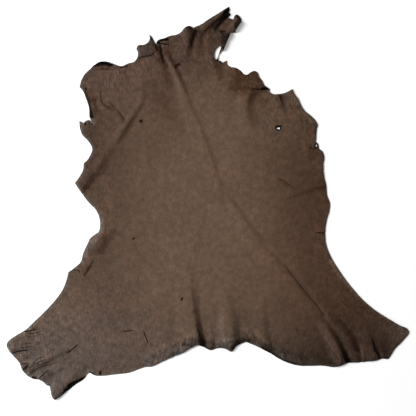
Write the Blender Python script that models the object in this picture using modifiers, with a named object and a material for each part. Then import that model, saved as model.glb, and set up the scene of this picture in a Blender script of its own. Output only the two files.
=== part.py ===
"""A whole tanned goatskin, lying grain side up on a flat surface.

The skin is one sheet of leather.  Its flat pattern is drawn limb by limb, then
raised into its folds, its edge is rolled down to the surface, and the two places
where the neck's edge turns over are bent round a line.  Lengths in the tables
are millimetres: x runs across the skin, y along the backbone towards the neck.
"""
import math

import bmesh
import bpy
import numpy as np
from mathutils import Matrix, Vector
from mathutils.geometry import delaunay_2d_cdt

MM = 0.001

# Driving sizes, millimetres
THICKNESS = 1.2
EDGE_LIFT = 2.5            # how high the skin stands just inside its edge
EDGE_ROLL = 8.0            # width over which the edge turns down
EDGE_KEEP = 0.45           # share of its height that the skin keeps at the very edge
EDGE_REACH = 42.0          # how far inside the edge the skin is flat again
SWELL_HEIGHT = 4.5         # loose waves of the unpressed skin
SWELL_CONTACT = 1.8        # how much of a wave is pressed flat by the skin's weight
CONTACT_SOFTNESS = 1.0     # height over which the skin leaves the surface

# Mesh spacing, millimetres
FINEST = 4.0
LEVELS = 3                 # each level doubles the spacing
SHAPE_ERROR = 0.7          # how far a face may stray from the true surface
OUTLINE_ERROR = 0.5
LONGEST_EDGE_STEP = 22.0

COLOUR = (0.115, 0.070, 0.047, 1.0)
ROUGHNESS = 0.62

# The cut edge, anticlockwise from the notch left of the neck.
# Each row is x, y and how the edge passes the point.
CURVE = "curve"
CORNER = "corner"
OUTLINE = {
    "neck ear": [
        (-129, 407, CORNER),
        (-136, 418, CURVE),
        (-141, 428, CURVE),
        (-147, 433.5, CORNER),
        (-145, 424, CURVE),
        (-148, 416, CURVE),
        (-158, 408, CURVE),
        (-175, 405, CURVE),
        (-178, 399, CURVE),
        (-174.5, 387, CURVE),
        (-178, 373, CURVE),
        (-185, 365, CURVE),
        (-198, 361.5, CURVE),
        (-217, 354, CURVE),
    ],
    "left shoulder": [
        (-230, 357, CURVE),
        (-242, 362, CURVE),
        (-270, 365, CURVE),
        (-281, 359, CURVE),
        (-295, 347, CURVE),
        (-309, 333, CURVE),
        (-316, 320, CURVE),
        (-321, 302, CORNER),
        (-312, 292, CURVE),
        (-306, 277, CURVE),
        (-297, 250, CURVE),
        (-294.5, 225, CURVE),
        (-291, 217, CURVE),
        (-287.5, 210, CORNER),
        (-292.5, 213.5, CURVE),
    ],
    "left foreleg": [
        (-296, 220, CORNER),
        (-305, 217, CURVE),
        (-311, 211, CORNER),
        (-321, 217.5, CORNER),
        (-319, 197, CURVE),
        (-314, 183, CURVE),
        (-300, 168, CURVE),
        (-289, 145, CURVE),
        (-293, 134, CURVE),
        (-302, 119, CURVE),
        (-310, 111, CURVE),
        (-311, 99, CURVE),
        (-322, 76, CURVE),
        (-332, 62.5, CORNER),
    ],
    "left flank": [
        (-319, 42, CURVE),
        (-299, 15, CURVE),
        (-280, -5, CURVE),
        (-272, -22, CURVE),
        (-269.5, -45, CURVE),
        (-273, -60, CURVE),
        (-284, -68, CURVE),
        (-292, -74, CURVE),
    ],
    "left thigh": [
        (-301, -91, CURVE),
        (-312, -115, CURVE),
        (-317, -133, CURVE),
        (-338, -153, CURVE),
        (-349, -160.5, CORNER),
        (-354, -181, CURVE),
        (-362, -202, CURVE),
        (-383, -232, CURVE),
        (-412, -263, CURVE),
        (-437, -287, CURVE),
        (-456, -305, CURVE),
        (-478, -318, CURVE),
        (-496, -331, CURVE),
        (-502.5, -340, CURVE),
    ],
    "left hind foot": [
        (-498, -354, CURVE),
        (-485, -371, CURVE),
        (-470, -389, CURVE),
        (-464, -403, CURVE),
        (-448, -421, CURVE),
        (-437, -427, CURVE),
        (-421, -429, CURVE),
        (-412, -434, CURVE),
        (-403, -443, CURVE),
        (-395, -445, CORNER),
        (-392, -459, CURVE),
        (-388, -472, CURVE),
        (-382, -479.5, CORNER),
        (-369, -471, CURVE),
        (-357, -461, CURVE),
        (-331, -441, CURVE),
        (-307, -424, CURVE),
        (-302, -416, CURVE),
        (-296, -412, CURVE),
    ],
    "left of the tail": [
        (-290, -415, CURVE),
        (-281, -419, CURVE),
        (-268, -419.5, CURVE),
        (-236, -416.5, CURVE),
        (-191, -410, CURVE),
        (-172, -402.5, CURVE),
        (-155, -397.5, CURVE),
        (-143, -397, CURVE),
        (-115, -384.5, CURVE),
        (-85, -370.5, CURVE),
        (-68, -364.5, CURVE),
        (-40, -348.5, CURVE),
        (-26, -342.5, CURVE),
    ],
    "right of the tail": [
        (-12, -347, CURVE),
        (4, -355, CURVE),
        (30, -349.5, CURVE),
        (45, -352, CURVE),
        (59, -358.5, CURVE),
        (70, -346, CURVE),
        (95, -334.5, CORNER),
        (117, -343, CURVE),
        (155, -362.5, CURVE),
        (180, -378, CURVE),
        (205, -388.5, CURVE),
        (230, -394, CURVE),
    ],
    "right hind foot": [
        (250, -394.5, CURVE),
        (290, -394.5, CURVE),
        (312, -397.5, CURVE),
        (327, -395.5, CURVE),
        (345, -388.5, CURVE),
        (380, -385.5, CURVE),
        (422, -380.5, CURVE),
        (436, -377, CURVE),
        (451, -377, CURVE),
        (458, -367, CURVE),
        (467, -353, CURVE),
        (490, -329, CURVE),
        (502.5, -309, CURVE),
        (499, -303, CURVE),
    ],
    "right thigh": [
        (480, -294, CURVE),
        (455, -279.5, CURVE),
        (417, -255, CURVE),
        (380, -222, CURVE),
        (355, -193, CURVE),
        (330, -158.5, CURVE),
        (306, -119, CURVE),
        (296, -92, CURVE),
        (293.5, -74, CURVE),
    ],
    "right flank": [
        (297, -32, CURVE),
        (304.5, -4, CURVE),
        (305.5, 10, CURVE),
        (298, 32, CURVE),
        (296, 55, CURVE),
        (290, 82, CURVE),
        (289, 110, CURVE),
        (291, 128, CURVE),
        (287, 140.5, CURVE),
        (277, 150, CURVE),
        (276.5, 158, CURVE),
        (273, 162.5, CURVE),
        (270, 164.5, CORNER),
        (271, 175, CURVE),
        (272, 195, CURVE),
        (274.5, 209, CURVE),
        (270, 217, CURVE),
    ],
    "right shoulder": [
        (255, 232.5, CURVE),
        (243, 242, CURVE),
        (231, 260, CURVE),
        (226, 271.5, CURVE),
        (217, 283.5, CURVE),
        (211, 297, CORNER),
        (193, 287.5, CURVE),
        (181, 284.5, CURVE),
        (161, 285, CURVE),
        (154.5, 290, CURVE),
        (155, 297, CORNER),
        (142.5, 305, CURVE),
        (136, 317, CURVE),
        (128, 328, CURVE),
        (124.5, 338, CURVE),
        (114.5, 342.5, CURVE),
        (105, 337.5, CURVE),
        (97, 332.5, CURVE),
        (90.5, 334, CURVE),
        (80, 344, CURVE),
        (70, 350, CURVE),
        (55, 353, CURVE),
        (48, 359, CURVE),
    ],
    "neck strap": [
        (47.5, 368.5, CORNER),
        (35, 362.5, CORNER),
        (32.5, 367, CORNER),
        (25.5, 368.5, CORNER),
        (26.5, 377, CURVE),
        (29.5, 384.5, CURVE),
        (34, 391, CORNER),
    ],
    "strap side": [
        (33.5, 402, CURVE),
        (34, 421, CURVE),
        (35, 437, CORNER),
        (48, 434, CURVE),
    ],
    "under the hook": [
        (57.5, 435.5, CORNER),
        (65, 438.5, CORNER),
    ],
    "hook side": [
        (66, 448, CURVE),
        (66, 460, CORNER),
        (73, 466, CURVE),
    ],
    "neck crown": [
        (84.5, 465, CORNER),
        (81.5, 473, CURVE),
        (71, 482.5, CURVE),
        (65.5, 477, CURVE),
        (64.5, 470.5, CORNER),
        (50, 475.5, CORNER),
        (57, 483, CORNER),
        (52.5, 489.5, CURVE),
        (54.5, 495, CURVE),
        (51.5, 503, CORNER),
        (42.5, 495.5, CURVE),
        (30, 487.5, CURVE),
        (5, 473, CURVE),
        (-20, 457, CURVE),
        (-36, 450, CORNER),
        (-47, 454, CURVE),
        (-57, 449.5, CURVE),
        (-67, 438.5, CURVE),
        (-77, 433, CURVE),
        (-95, 429.5, CURVE),
        (-111, 423, CURVE),
        (-122, 420.5, CURVE),
        (-127, 415.5, CURVE),
    ],
}

# Stretches of the outline that turn over and lie back on the grain side.  The
# rows above give where their cut edge lies then, and this is the line, as it is
# seen from above, along which the skin turns.
ROLL_RADIUS = 4.5
ROLL_TURN = math.radians(188.0)
TURNED = {
    "strap side": {"from": (36.5, 388.0), "to": (57.5, 437.0)},
    "hook side": {"from": (67.5, 440.0), "to": (85.5, 466.5)},
}

# Holes through the skin: centre, length, width, turn of the length from +X, and
# how far the middle of the hole is bowed to the left of its length.
HOLES = [
    {"name": "strap gap", "x": 25.5, "y": 387.5, "length": 36, "width": 11, "turn": 71, "bow": 3.0},
    {"name": "right tear", "x": 176, "y": 199, "length": 10, "width": 9, "turn": 178, "bow": 0.0},
    {"name": "flank loop", "x": 270.8, "y": 155.5, "length": 6, "width": 4.4, "turn": 80, "bow": 0.0},
]

# Folds of the skin.  A fold is a ridge, and each of its rows is one section, in order
# from its neck end: x and y of the crest, its height, and how far the ridge reaches to
# the right hand and to the left hand of someone who walks down the crest.
FOLDS = {
    "ear dome": [
        (-168, 393, 3, 22, 24),
        (-150, 392, 5, 24, 26),
        (-138, 398, 4, 20, 22),
    ],
    "ear crest": [
        (-131, 396, 2, 30, 10),
        (-130, 368, 2, 36, 11),
        (-120, 342, 1.5, 40, 12),
        (-108, 312, 0.5, 40, 12),
    ],
    "spine fold": [
        (-114, 405, 5, 8, 11),
        (-106, 390, 6, 9, 12),
        (-97, 371, 6, 9, 12),
        (-87, 351, 5.5, 9, 12),
        (-77, 331, 5, 10, 12),
        (-66, 307, 4, 14, 12),
        (-57, 282, 3.2, 22, 12),
        (-47, 252, 3, 30, 12),
        (-32, 220, 3, 36, 13),
        (-13, 175, 2.8, 38, 13),
        (0, 132, 2, 38, 14),
        (10, 95, 0.5, 38, 16),
    ],
    "loin fold": [
        (52, 20, 0.5, 34, 14),
        (72, -10, 2, 34, 14),
        (92, -40, 2, 32, 13),
        (112, -72, 1.5, 30, 12),
        (140, -105, 1.2, 28, 9),
        (180, -140, 1.8, 28, 8),
        (215, -187, 2.2, 30, 7),
        (252, -235, 2.2, 30, 7),
        (280, -270, 2, 30, 8),
    ],
    "thigh swell": [
        (205, -135, 0.5, 9, 26),
        (230, -165, 2, 8, 26),
        (270, -220, 2.4, 7, 26),
        (302, -272, 2.4, 7, 24),
        (318, -302, 1, 9, 20),
    ],
    "neck pleat": [
        (-52, 448, 9, 24, 11),
        (-49, 430, 9, 30, 13),
        (-50, 410, 7, 34, 12),
        (-55, 390, 4, 36, 12),
        (-58, 362, 1, 36, 12),
    ],
    "second neck pleat": [
        (-27, 446, 4, 12, 12),
        (-25, 416, 3, 12, 14),
        (-30, 386, 1, 12, 14),
    ],
    "third neck pleat": [
        (2, 430, 3, 14, 14),
        (-1, 404, 2, 14, 16),
        (-4, 365, 0.5, 14, 16),
    ],
    "crown pleat": [
        (44, 494, 9, 8, 9),
        (20, 475, 8, 9, 10),
        (0, 460, 6, 9, 10),
        (-17, 445, 3, 9, 12),
    ],
    "crown inner pleat": [
        (47, 483, 8, 6, 7),
        (25, 469, 7, 6, 8),
        (5, 450, 4, 7, 10),
        (-4, 438, 1, 8, 10),
    ],
    "hook rise": [
        (73, 471, 8, 14, 14),
        (70, 458, 8, 16, 16),
        (60, 446, 6, 16, 16),
        (48, 430, 4, 16, 16),
    ],
    "left shoulder fold": [
        (-160, 282, 1, 14, 9),
        (-170, 260, 2, 14, 10),
        (-182, 240, 3, 13, 11),
        (-195, 224, 4, 12, 11),
        (-204, 209, 4.5, 11, 11),
        (-216, 192, 4, 12, 12),
        (-229, 176, 3, 14, 14),
        (-240, 155, 1.5, 20, 20),
        (-252, 135, 2, 22, 24),
        (-264, 117, 3.5, 18, 24),
        (-280, 97, 4.5, 18, 24),
        (-297, 80, 5.5, 20, 24),
        (-318, 60, 6, 20, 24),
    ],
    "left foreleg swell": [
        (-294, 298, 0.5, 14, 13),
        (-289, 275, 2, 12, 11),
        (-287, 252, 1.5, 10, 11),
        (-285, 232, 0.5, 10, 12),
    ],
    "left arc fold": [
        (-272, 295, 0.5, 14, 7),
        (-272, 263, 1.5, 16, 8),
        (-257, 247, 2.2, 16, 8),
        (-232, 238, 2.5, 16, 9),
        (-217, 219, 2.5, 14, 9),
        (-208, 205, 1, 10, 8),
    ],
    "right lappet": [
        (112, 328, 4, 22, 16),
        (120, 312, 6, 24, 18),
        (126, 303, 6, 24, 18),
    ],
    "right shoulder fold": [
        (106, 296, 5, 30, 15),
        (100, 277, 5, 30, 15),
        (95, 262, 4.5, 30, 15),
        (95, 245, 3.5, 30, 15),
        (100, 225, 2, 28, 14),
        (108, 200, 0.5, 24, 14),
    ],
    "right foreleg fold": [
        (171, 284, 6, 24, 10),
        (178, 264, 5, 24, 10),
        (184, 245, 2, 20, 10),
        (190, 228, 0.5, 18, 10),
    ],
    "right flank fold": [
        (182, 80, 1, 20, 14),
        (206, 66, 2, 20, 14),
        (240, 62, 3, 20, 14),
        (276, 66, 4, 20, 14),
    ],
    "left hock fold": [
        (-265, -45, 0.5, 14, 14),
        (-272, -70, 2, 20, 30),
        (-280, -90, 3, 22, 34),
        (-288, -110, 3, 22, 28),
        (-298, -130, 1, 20, 14),
    ],
    "left thigh fold": [
        (-327, -150, 2, 8, 10),
        (-312, -157, 3, 9, 14),
        (-302, -146, 3, 9, 16),
        (-289, -126, 1, 9, 16),
    ],
    "tail fold": [
        (-43, -172, 0.5, 26, 7),
        (-45, -205, 2.5, 40, 11),
        (-40, -242, 4, 50, 13),
        (-35, -275, 5.5, 56, 15),
        (-30, -307, 7, 60, 18),
        (-26, -343, 8, 60, 22),
    ],
    "second tail fold": [
        (47, -205, 0.5, 36, 16),
        (50, -245, 2.5, 36, 20),
        (53, -285, 5, 36, 28),
        (56, -320, 7.5, 38, 34),
        (57, -345, 8.5, 38, 36),
    ],
    "third tail fold": [
        (132, -230, 1, 34, 16),
        (135, -280, 3, 36, 18),
        (138, -318, 5, 36, 22),
        (140, -350, 6, 34, 24),
    ],
    "right leg fold": [
        (285, -280, 1.5, 26, 10),
        (302, -307, 5, 28, 11),
        (318, -332, 8, 30, 13),
        (330, -360, 9, 30, 15),
        (337, -390, 9, 30, 17),
    ],
    "right leg second fold": [
        (310, -260, 0.5, 20, 10),
        (332, -292, 2.5, 22, 11),
        (352, -322, 4, 22, 13),
        (365, -350, 5, 22, 14),
        (370, -380, 5, 22, 14),
    ],
    "right foot fold": [
        (385, -285, 0.5, 26, 10),
        (398, -312, 3, 28, 11),
        (408, -342, 6, 30, 13),
        (418, -375, 7, 30, 14),
    ],
    "left toe fold": [
        (-380, -334, 1, 20, 16),
        (-430, -341, 4, 20, 18),
        (-486, -348, 6, 20, 18),
    ],
    "left foot fold": [
        (-345, -360, 1, 20, 18),
        (-400, -382, 4, 20, 18),
        (-436, -397, 6, 20, 16),
        (-464, -403, 6, 18, 14),
    ],
    "left foot crease": [
        (-372, -396, 1, 12, 14),
        (-396, -412, 4, 12, 14),
        (-416, -426, 5, 12, 14),
    ],
    "heel tab": [
        (-318, -408, 4, 26, 16),
        (-344, -424, 8, 30, 20),
        (-362, -444, 11, 30, 22),
        (-378, -468, 11, 28, 22),
    ],
}

# Loose waves of the skin: wavelength, direction of travel and where a crest lies.
WAVES = [
    {"length": 330, "toward": 20, "crest": 110},
    {"length": 250, "toward": 95, "crest": -40},
    {"length": 190, "toward": 140, "crest": 25},
    {"length": 145, "toward": 62, "crest": 70},
]

# The edge is lifted more in some places than in others.
EDGE_WAVES = [
    {"length": 155, "toward": 35, "crest": 12},
    {"length": 97, "toward": 118, "crest": 40},
]


def clear_scene():
    """Remove whatever the file opened with."""
    for item in list(bpy.data.objects):
        bpy.data.objects.remove(item, do_unlink=True)


def curve_through(rows, error, longest):
    """Points along the closed edge through rows of (x, y, kind)."""
    places = np.array([row[:2] for row in rows], float)
    count = len(rows)
    chords = np.roll(places, -1, axis=0) - places
    spans = np.linalg.norm(chords, axis=1)
    headings = chords / spans[:, None]
    points = []
    for here in range(count):
        there = (here + 1) % count
        before = here - 1
        leave = headings[here]
        if rows[here][2] == CURVE:
            leave = headings[before] * spans[here] + headings[here] * spans[before]
            leave = leave / (spans[here] + spans[before])
        arrive = headings[here]
        if rows[there][2] == CURVE:
            arrive = headings[here] * spans[there] + headings[there] * spans[here]
            arrive = arrive / (spans[here] + spans[there])
        bend = np.linalg.norm(arrive - leave) + np.linalg.norm(leave + arrive - 2 * headings[here])
        steps = math.ceil(max(math.sqrt(bend * spans[here] / (8 * error)), spans[here] / longest))
        for step in range(steps):
            u = step / steps
            points.append(
                (2 * u**3 - 3 * u**2 + 1) * places[here]
                + (u**3 - 2 * u**2 + u) * spans[here] * leave
                + (3 * u**2 - 2 * u**3) * places[there]
                + (u**3 - u**2) * spans[here] * arrive
            )
    return np.array(points)


def roll_frame(turned):
    """Where a turned edge starts to bend, its direction, its outward normal and its length."""
    seen = np.array(turned["from"], float)
    along = np.array(turned["to"], float) - seen
    length = np.linalg.norm(along)
    along = along / length
    outward = np.array([along[1], -along[0]])
    return seen - outward * ROLL_RADIUS, along, outward, length


def unturned(turned, x, y):
    """The flat place of a point that is seen at (x, y) on the turned-over layer."""
    start, along, outward, _ = roll_frame(turned)
    place = np.array([x, y], float) - start
    inside = max(-place.dot(outward), 0.0)
    flat = start + along * place.dot(along) + outward * (ROLL_RADIUS * ROLL_TURN + inside)
    return tuple(flat)


def cut_edge():
    """All rows of the flat pattern's edge, with the turned-over stretches laid flat."""
    rows = []
    for name, stretch in OUTLINE.items():
        if name in TURNED:
            stretch = [(*unturned(TURNED[name], x, y), kind) for x, y, kind in stretch]
        rows += stretch
    return rows


def hole_edge(hole, error):
    """Points round one hole: an ellipse whose length may be bowed."""
    half_length = hole["length"] / 2
    half_width = hole["width"] / 2
    steps = max(8, math.ceil(math.pi / math.acos(1 - error / half_length)))
    turn = math.radians(hole["turn"])
    points = []
    for step in range(steps):
        angle = 2 * math.pi * step / steps
        along = half_length * math.cos(angle)
        across = half_width * math.sin(angle) + hole["bow"] * math.sin(angle) ** 2
        points.append((
            hole["x"] + along * math.cos(turn) - across * math.sin(turn),
            hole["y"] + along * math.sin(turn) + across * math.cos(turn),
        ))
    return np.array(points)


def distance_to_loops(places, loops):
    """How far each place is from the nearest edge of the closed loops."""
    nearest = np.full(len(places), 1e9)
    for loop in loops:
        for start, end in zip(loop, np.roll(loop, -1, axis=0)):
            edge = end - start
            share = np.clip((places - start) @ edge / max(edge @ edge, 1e-9), 0, 1)
            away = np.linalg.norm(places - start - share[:, None] * edge, axis=1)
            nearest = np.minimum(nearest, away)
    return nearest


def inside_loop(places, loop):
    """Whether each place is inside a closed loop, by counting crossings."""
    inside = np.zeros(len(places), bool)
    for (x0, y0), (x1, y1) in zip(loop, np.roll(loop, -1, axis=0)):
        if y0 == y1:
            continue
        crosses = (y0 > places[:, 1]) != (y1 > places[:, 1])
        at = x0 + (places[:, 1] - y0) * (x1 - x0) / (y1 - y0)
        inside ^= crosses & (places[:, 0] < at)
    return inside


def smoothed(rows, passes=3):
    """Rows of numbers with the corners between them rounded off, the two ends kept."""
    rows = np.array(rows, float)
    for _ in range(passes):
        cuts = [rows[:1]]
        for start, end in zip(rows[:-1], rows[1:]):
            cuts.append(np.array([start * 0.75 + end * 0.25, start * 0.25 + end * 0.75]))
        cuts.append(rows[-1:])
        rows = np.concatenate(cuts)
    return rows


def fold_height(sections, places):
    """Height of one ridge over the places."""
    rows = smoothed(sections)
    nearest = np.full(len(places), 1e9)
    crest = np.zeros(len(places))
    width = np.ones(len(places))
    for start, end in zip(rows[:-1], rows[1:]):
        edge = end[:2] - start[:2]
        rel = places - start[:2]
        share = np.clip(rel @ edge / (edge @ edge), 0, 1)
        away = np.linalg.norm(rel - share[:, None] * edge, axis=1)
        abreast = start + share[:, None] * (end - start)
        on_left = edge[0] * rel[:, 1] - edge[1] * rel[:, 0] > 0
        closer = away < nearest
        nearest[closer] = away[closer]
        crest[closer] = abreast[closer, 2]
        width[closer] = np.where(on_left, abreast[:, 4], abreast[:, 3])[closer]
    across = np.clip(nearest / width, 0, 1)
    return crest * (1 - across**2) ** 2


def wave_sum(waves, places):
    """Mean of plane waves, from -1 to 1."""
    total = np.zeros(len(places))
    for wave in waves:
        toward = math.radians(wave["toward"])
        run = places @ np.array([math.cos(toward), math.sin(toward)])
        total += np.cos(2 * math.pi * (run - wave["crest"]) / wave["length"])
    return total / len(waves)


def height_over(places, loops):
    """Height of the underside: nowhere below zero, and zero wherever it is pressed flat."""
    edge = distance_to_loops(places, loops)
    rise = np.clip(edge / EDGE_ROLL, 0, 1)
    rise = rise * rise * (3 - 2 * rise)
    fall = np.clip(1 - edge / EDGE_REACH, 0, 1)
    fall = fall * fall * (3 - 2 * fall)
    lift = EDGE_LIFT * (0.8 + 0.6 * wave_sum(EDGE_WAVES, places)) * fall
    folds = np.zeros(len(places))
    for sections in FOLDS.values():
        one = fold_height(sections, places)
        folds = np.sqrt(folds**2 + one**2)
    raw = SWELL_HEIGHT * wave_sum(WAVES, places) - SWELL_CONTACT + lift
    soft = CONTACT_SOFTNESS
    raised = np.where(raw > soft, raw, np.clip(raw + soft, 0, None) ** 2 / (4 * soft))
    return (raised + folds) * (EDGE_KEEP + (1 - EDGE_KEEP) * rise)


def turned_over(places):
    """Plan place and extra height of each flat place, once the neck's edges are bent over."""
    plan = places.copy()
    lift = np.zeros(len(places))
    for turned in TURNED.values():
        start, along, outward, length = roll_frame(turned)
        rel = places - start
        t = rel @ along
        s = rel @ outward
        ends = np.clip(np.minimum(t, length - t) / (0.2 * length), 0, 1)
        turn = ROLL_TURN * (0.35 + 0.65 * ends * ends * (3 - 2 * ends))
        bent = (s > 0) & (t > 0) & (t < length)
        arc = np.minimum(s / ROLL_RADIUS, turn)
        past = np.maximum(s - ROLL_RADIUS * turn, 0)
        reach = ROLL_RADIUS * np.sin(arc) + past * np.cos(turn)
        rise = ROLL_RADIUS * (1 - np.cos(arc)) + past * np.sin(turn)
        plan[bent] = (start + t[:, None] * along + reach[:, None] * outward)[bent]
        lift[bent] = rise[bent]
    return plan, lift


def spots_inside(loops):
    """Points inside the edge, on a triangular lattice that is finer where the skin bends."""
    outer = loops[0]
    low = outer.min(axis=0)
    span = outer.max(axis=0) - low
    row_step = FINEST * math.sqrt(0.75)
    row, column = np.indices((int(span[1] / row_step) + 2, int(span[0] / FINEST) + 2))
    places = np.stack([
        low[0] + FINEST * (column + 0.5 * (row % 2)),
        low[1] + row_step * row,
    ], axis=-1)
    height = height_over(places.reshape(-1, 2), loops).reshape(row.shape)
    bend = np.full(row.shape, 1e-6)
    bend[:, 1:-1] = np.abs(height[:, 2:] + height[:, :-2] - 2 * height[:, 1:-1]) / FINEST**2
    bend_along = np.abs(height[4:] + height[:-4] - 2 * height[2:-2]) / (2 * row_step) ** 2
    bend[2:-2] = np.maximum(bend[2:-2], bend_along)
    needed = np.clip(np.sqrt(8 * SHAPE_ERROR / np.maximum(bend, 1e-6)), FINEST, FINEST * 2**LEVELS)

    slant = column - row // 2
    spacing = np.full(row.shape, FINEST)
    for level in range(1, LEVELS + 1):
        spacing[(slant % 2**level == 0) & (row % 2**level == 0)] = FINEST * 2**level

    places = places.reshape(-1, 2)
    needed = needed.ravel()
    spacing = spacing.ravel()
    for turned in TURNED.values():
        start, along, outward, length = roll_frame(turned)
        across = (places - start) @ outward
        run = (places - start) @ along
        bent = (across > -FINEST) & (across < ROLL_RADIUS * ROLL_TURN + FINEST) & (run > 0) & (run < length)
        needed[bent] = FINEST
    kept = (needed < 1.5 * spacing) & inside_loop(places, outer)
    for loop in loops[1:]:
        kept &= ~inside_loop(places, loop)
    places = places[kept]
    gap = distance_to_loops(places, loops)
    return places[gap > 0.45 * np.minimum(needed[kept], EDGE_ROLL)]


def sheet_mesh(name):
    """The skin's underside as a mesh: its flat pattern triangulated, bent over and raised."""
    outer = curve_through(cut_edge(), OUTLINE_ERROR, LONGEST_EDGE_STEP)
    loops = [outer] + [hole_edge(hole, OUTLINE_ERROR) for hole in HOLES]
    spots = spots_inside(loops)
    places = np.concatenate(loops + [spots])
    edges = []
    first = 0
    for loop in loops:
        count = len(loop)
        edges += [(first + k, first + (k + 1) % count) for k in range(count)]
        first += count
    rim = list(range(len(outer)))
    result = delaunay_2d_cdt([Vector(place) for place in places], edges, [rim], 1, 1e-5)
    flat = np.array([tuple(place) for place in result[0]])
    faces = np.array(result[2])
    middles = flat[faces].mean(axis=1)
    kept = inside_loop(middles, outer)
    for loop in loops[1:]:
        kept &= ~inside_loop(middles, loop)
    faces = faces[kept]
    plan, lift = turned_over(flat)
    height = height_over(plan, loops) + lift
    corners = np.column_stack([plan, height]) * MM

    mesh = bpy.data.meshes.new(name)
    mesh.from_pydata(corners.tolist(), [], faces.tolist())
    work = bmesh.new()
    work.from_mesh(mesh)
    bmesh.ops.delete(work, geom=[v for v in work.verts if not v.link_faces], context="VERTS")
    bmesh.ops.recalc_face_normals(work, faces=work.faces)
    if sum(face.normal.z for face in work.faces) < 0:
        bmesh.ops.reverse_faces(work, faces=work.faces)
    work.to_mesh(mesh)
    work.free()
    return mesh


def leather_material():
    """Brown grain leather with a dull surface."""
    material = bpy.data.materials.new("brown leather")
    material.use_nodes = True
    shader = material.node_tree.nodes["Principled BSDF"]
    shader.inputs["Base Color"].default_value = COLOUR
    shader.inputs["Roughness"].default_value = ROUGHNESS
    shader.inputs["Metallic"].default_value = 0.0
    material.diffuse_color = COLOUR
    return material


def centre_over_origin(hide):
    """Move the skin sideways until the middle of its box is over the origin."""
    shape = hide.evaluated_get(bpy.context.evaluated_depsgraph_get()).data
    corners = np.array([vertex.co[:] for vertex in shape.vertices])
    middle = (corners.min(axis=0) + corners.max(axis=0)) / 2
    hide.data.transform(Matrix.Translation((-middle[0], -middle[1], 0.0)))


def make_hide(collection):
    """The whole skin as one closed sheet of even thickness."""
    mesh = sheet_mesh("hide")
    hide = bpy.data.objects.new("hide", mesh)
    collection.objects.link(hide)
    mesh.materials.append(leather_material())
    mesh.shade_smooth()
    shell = hide.modifiers.new("thickness", "SOLIDIFY")
    shell.thickness = THICKNESS * MM
    shell.offset = 1.0
    shell.use_even_offset = False
    return hide


clear_scene()
leather_hide = bpy.data.collections.new("leather hide")
bpy.context.scene.collection.children.link(leather_hide)
centre_over_origin(make_hide(leather_hide))
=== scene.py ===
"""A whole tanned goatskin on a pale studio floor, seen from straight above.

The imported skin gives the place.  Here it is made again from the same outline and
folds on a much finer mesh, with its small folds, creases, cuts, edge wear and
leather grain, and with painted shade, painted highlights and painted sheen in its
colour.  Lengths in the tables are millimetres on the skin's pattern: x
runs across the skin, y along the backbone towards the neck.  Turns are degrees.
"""

import math

import bpy
import numpy as np
from mathutils import Matrix, Vector, noise
from mathutils.geometry import delaunay_2d_cdt
from mathutils.kdtree import KDTree


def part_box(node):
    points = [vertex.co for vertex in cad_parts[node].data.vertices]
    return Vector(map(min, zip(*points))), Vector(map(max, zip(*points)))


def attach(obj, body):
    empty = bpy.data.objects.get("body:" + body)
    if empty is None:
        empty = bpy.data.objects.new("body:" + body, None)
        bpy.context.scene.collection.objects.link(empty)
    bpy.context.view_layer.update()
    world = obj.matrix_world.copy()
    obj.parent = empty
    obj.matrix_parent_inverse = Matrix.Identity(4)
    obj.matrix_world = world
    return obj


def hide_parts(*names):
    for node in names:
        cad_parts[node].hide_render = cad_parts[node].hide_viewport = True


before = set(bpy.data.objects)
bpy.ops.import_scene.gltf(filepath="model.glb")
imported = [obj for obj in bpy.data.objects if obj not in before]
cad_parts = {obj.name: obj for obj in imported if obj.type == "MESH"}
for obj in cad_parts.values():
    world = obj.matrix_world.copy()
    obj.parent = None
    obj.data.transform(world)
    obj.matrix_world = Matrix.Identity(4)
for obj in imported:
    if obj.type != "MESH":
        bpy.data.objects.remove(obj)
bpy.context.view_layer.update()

MM = 0.001

# Sizes of the sheet
THICKNESS = 1.2
EDGE_LIFT = 2.5            # how high the skin stands just inside its edge
EDGE_LIFT_MEAN = 0.8       # share of it that is there on average
EDGE_LIFT_SWING = 0.6      # and that the edge waves add or take
EDGE_ROLL = 8.0            # width over which the edge turns down
EDGE_KEEP = 0.45           # share of its height that the skin keeps at the very edge
EDGE_REACH = 42.0          # how far inside the edge the skin is flat again
SWELL_HEIGHT = 4.5         # loose waves of the unpressed skin
SWELL_CONTACT = 1.8        # how much of a wave is pressed flat by the skin's weight
CONTACT_SOFTNESS = 1.0     # height over which the skin leaves the surface
FRILL_HEIGHT = 1.5         # small waves of the thin edge
FRILL_REACH = 20.0

# Mesh
GRAIN_SPACING = 3.2        # halved near creases and the edge
FLESH_SPACING = 6.4        # halved under folds
FINE_BY_EDGE = 6.0         # how near to the edge and to a crease the grain side is fine
FINE_BY_CREASE = 5.0
FINE_ABOVE = 3.5           # height above which the flesh side is fine
EDGE_STEP = 2.2            # longest step along the edge, and how far it may cut a curve
EDGE_ERROR = 0.08
EDGE_RAGGED = 0.35         # how far the knife strayed
HOLE_STEP = 1.2
CREASE_STEP = 1.8          # spacing of the points along a crease
CREASE_ROWS = (-1.0, -0.45, 0.0, 0.45, 1.0)    # where they lie across it, in half widths
SHARP_ANGLE = 55.0         # the cut edge is sharper than this, the folds aren't
# Least gap from one set of points to another
CREASE_TO_EDGE = 0.8
GRAIN_TO_EDGE = 1.1
GRAIN_TO_CREASE = 0.9
FLESH_TO_EDGE = 1.6

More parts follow.
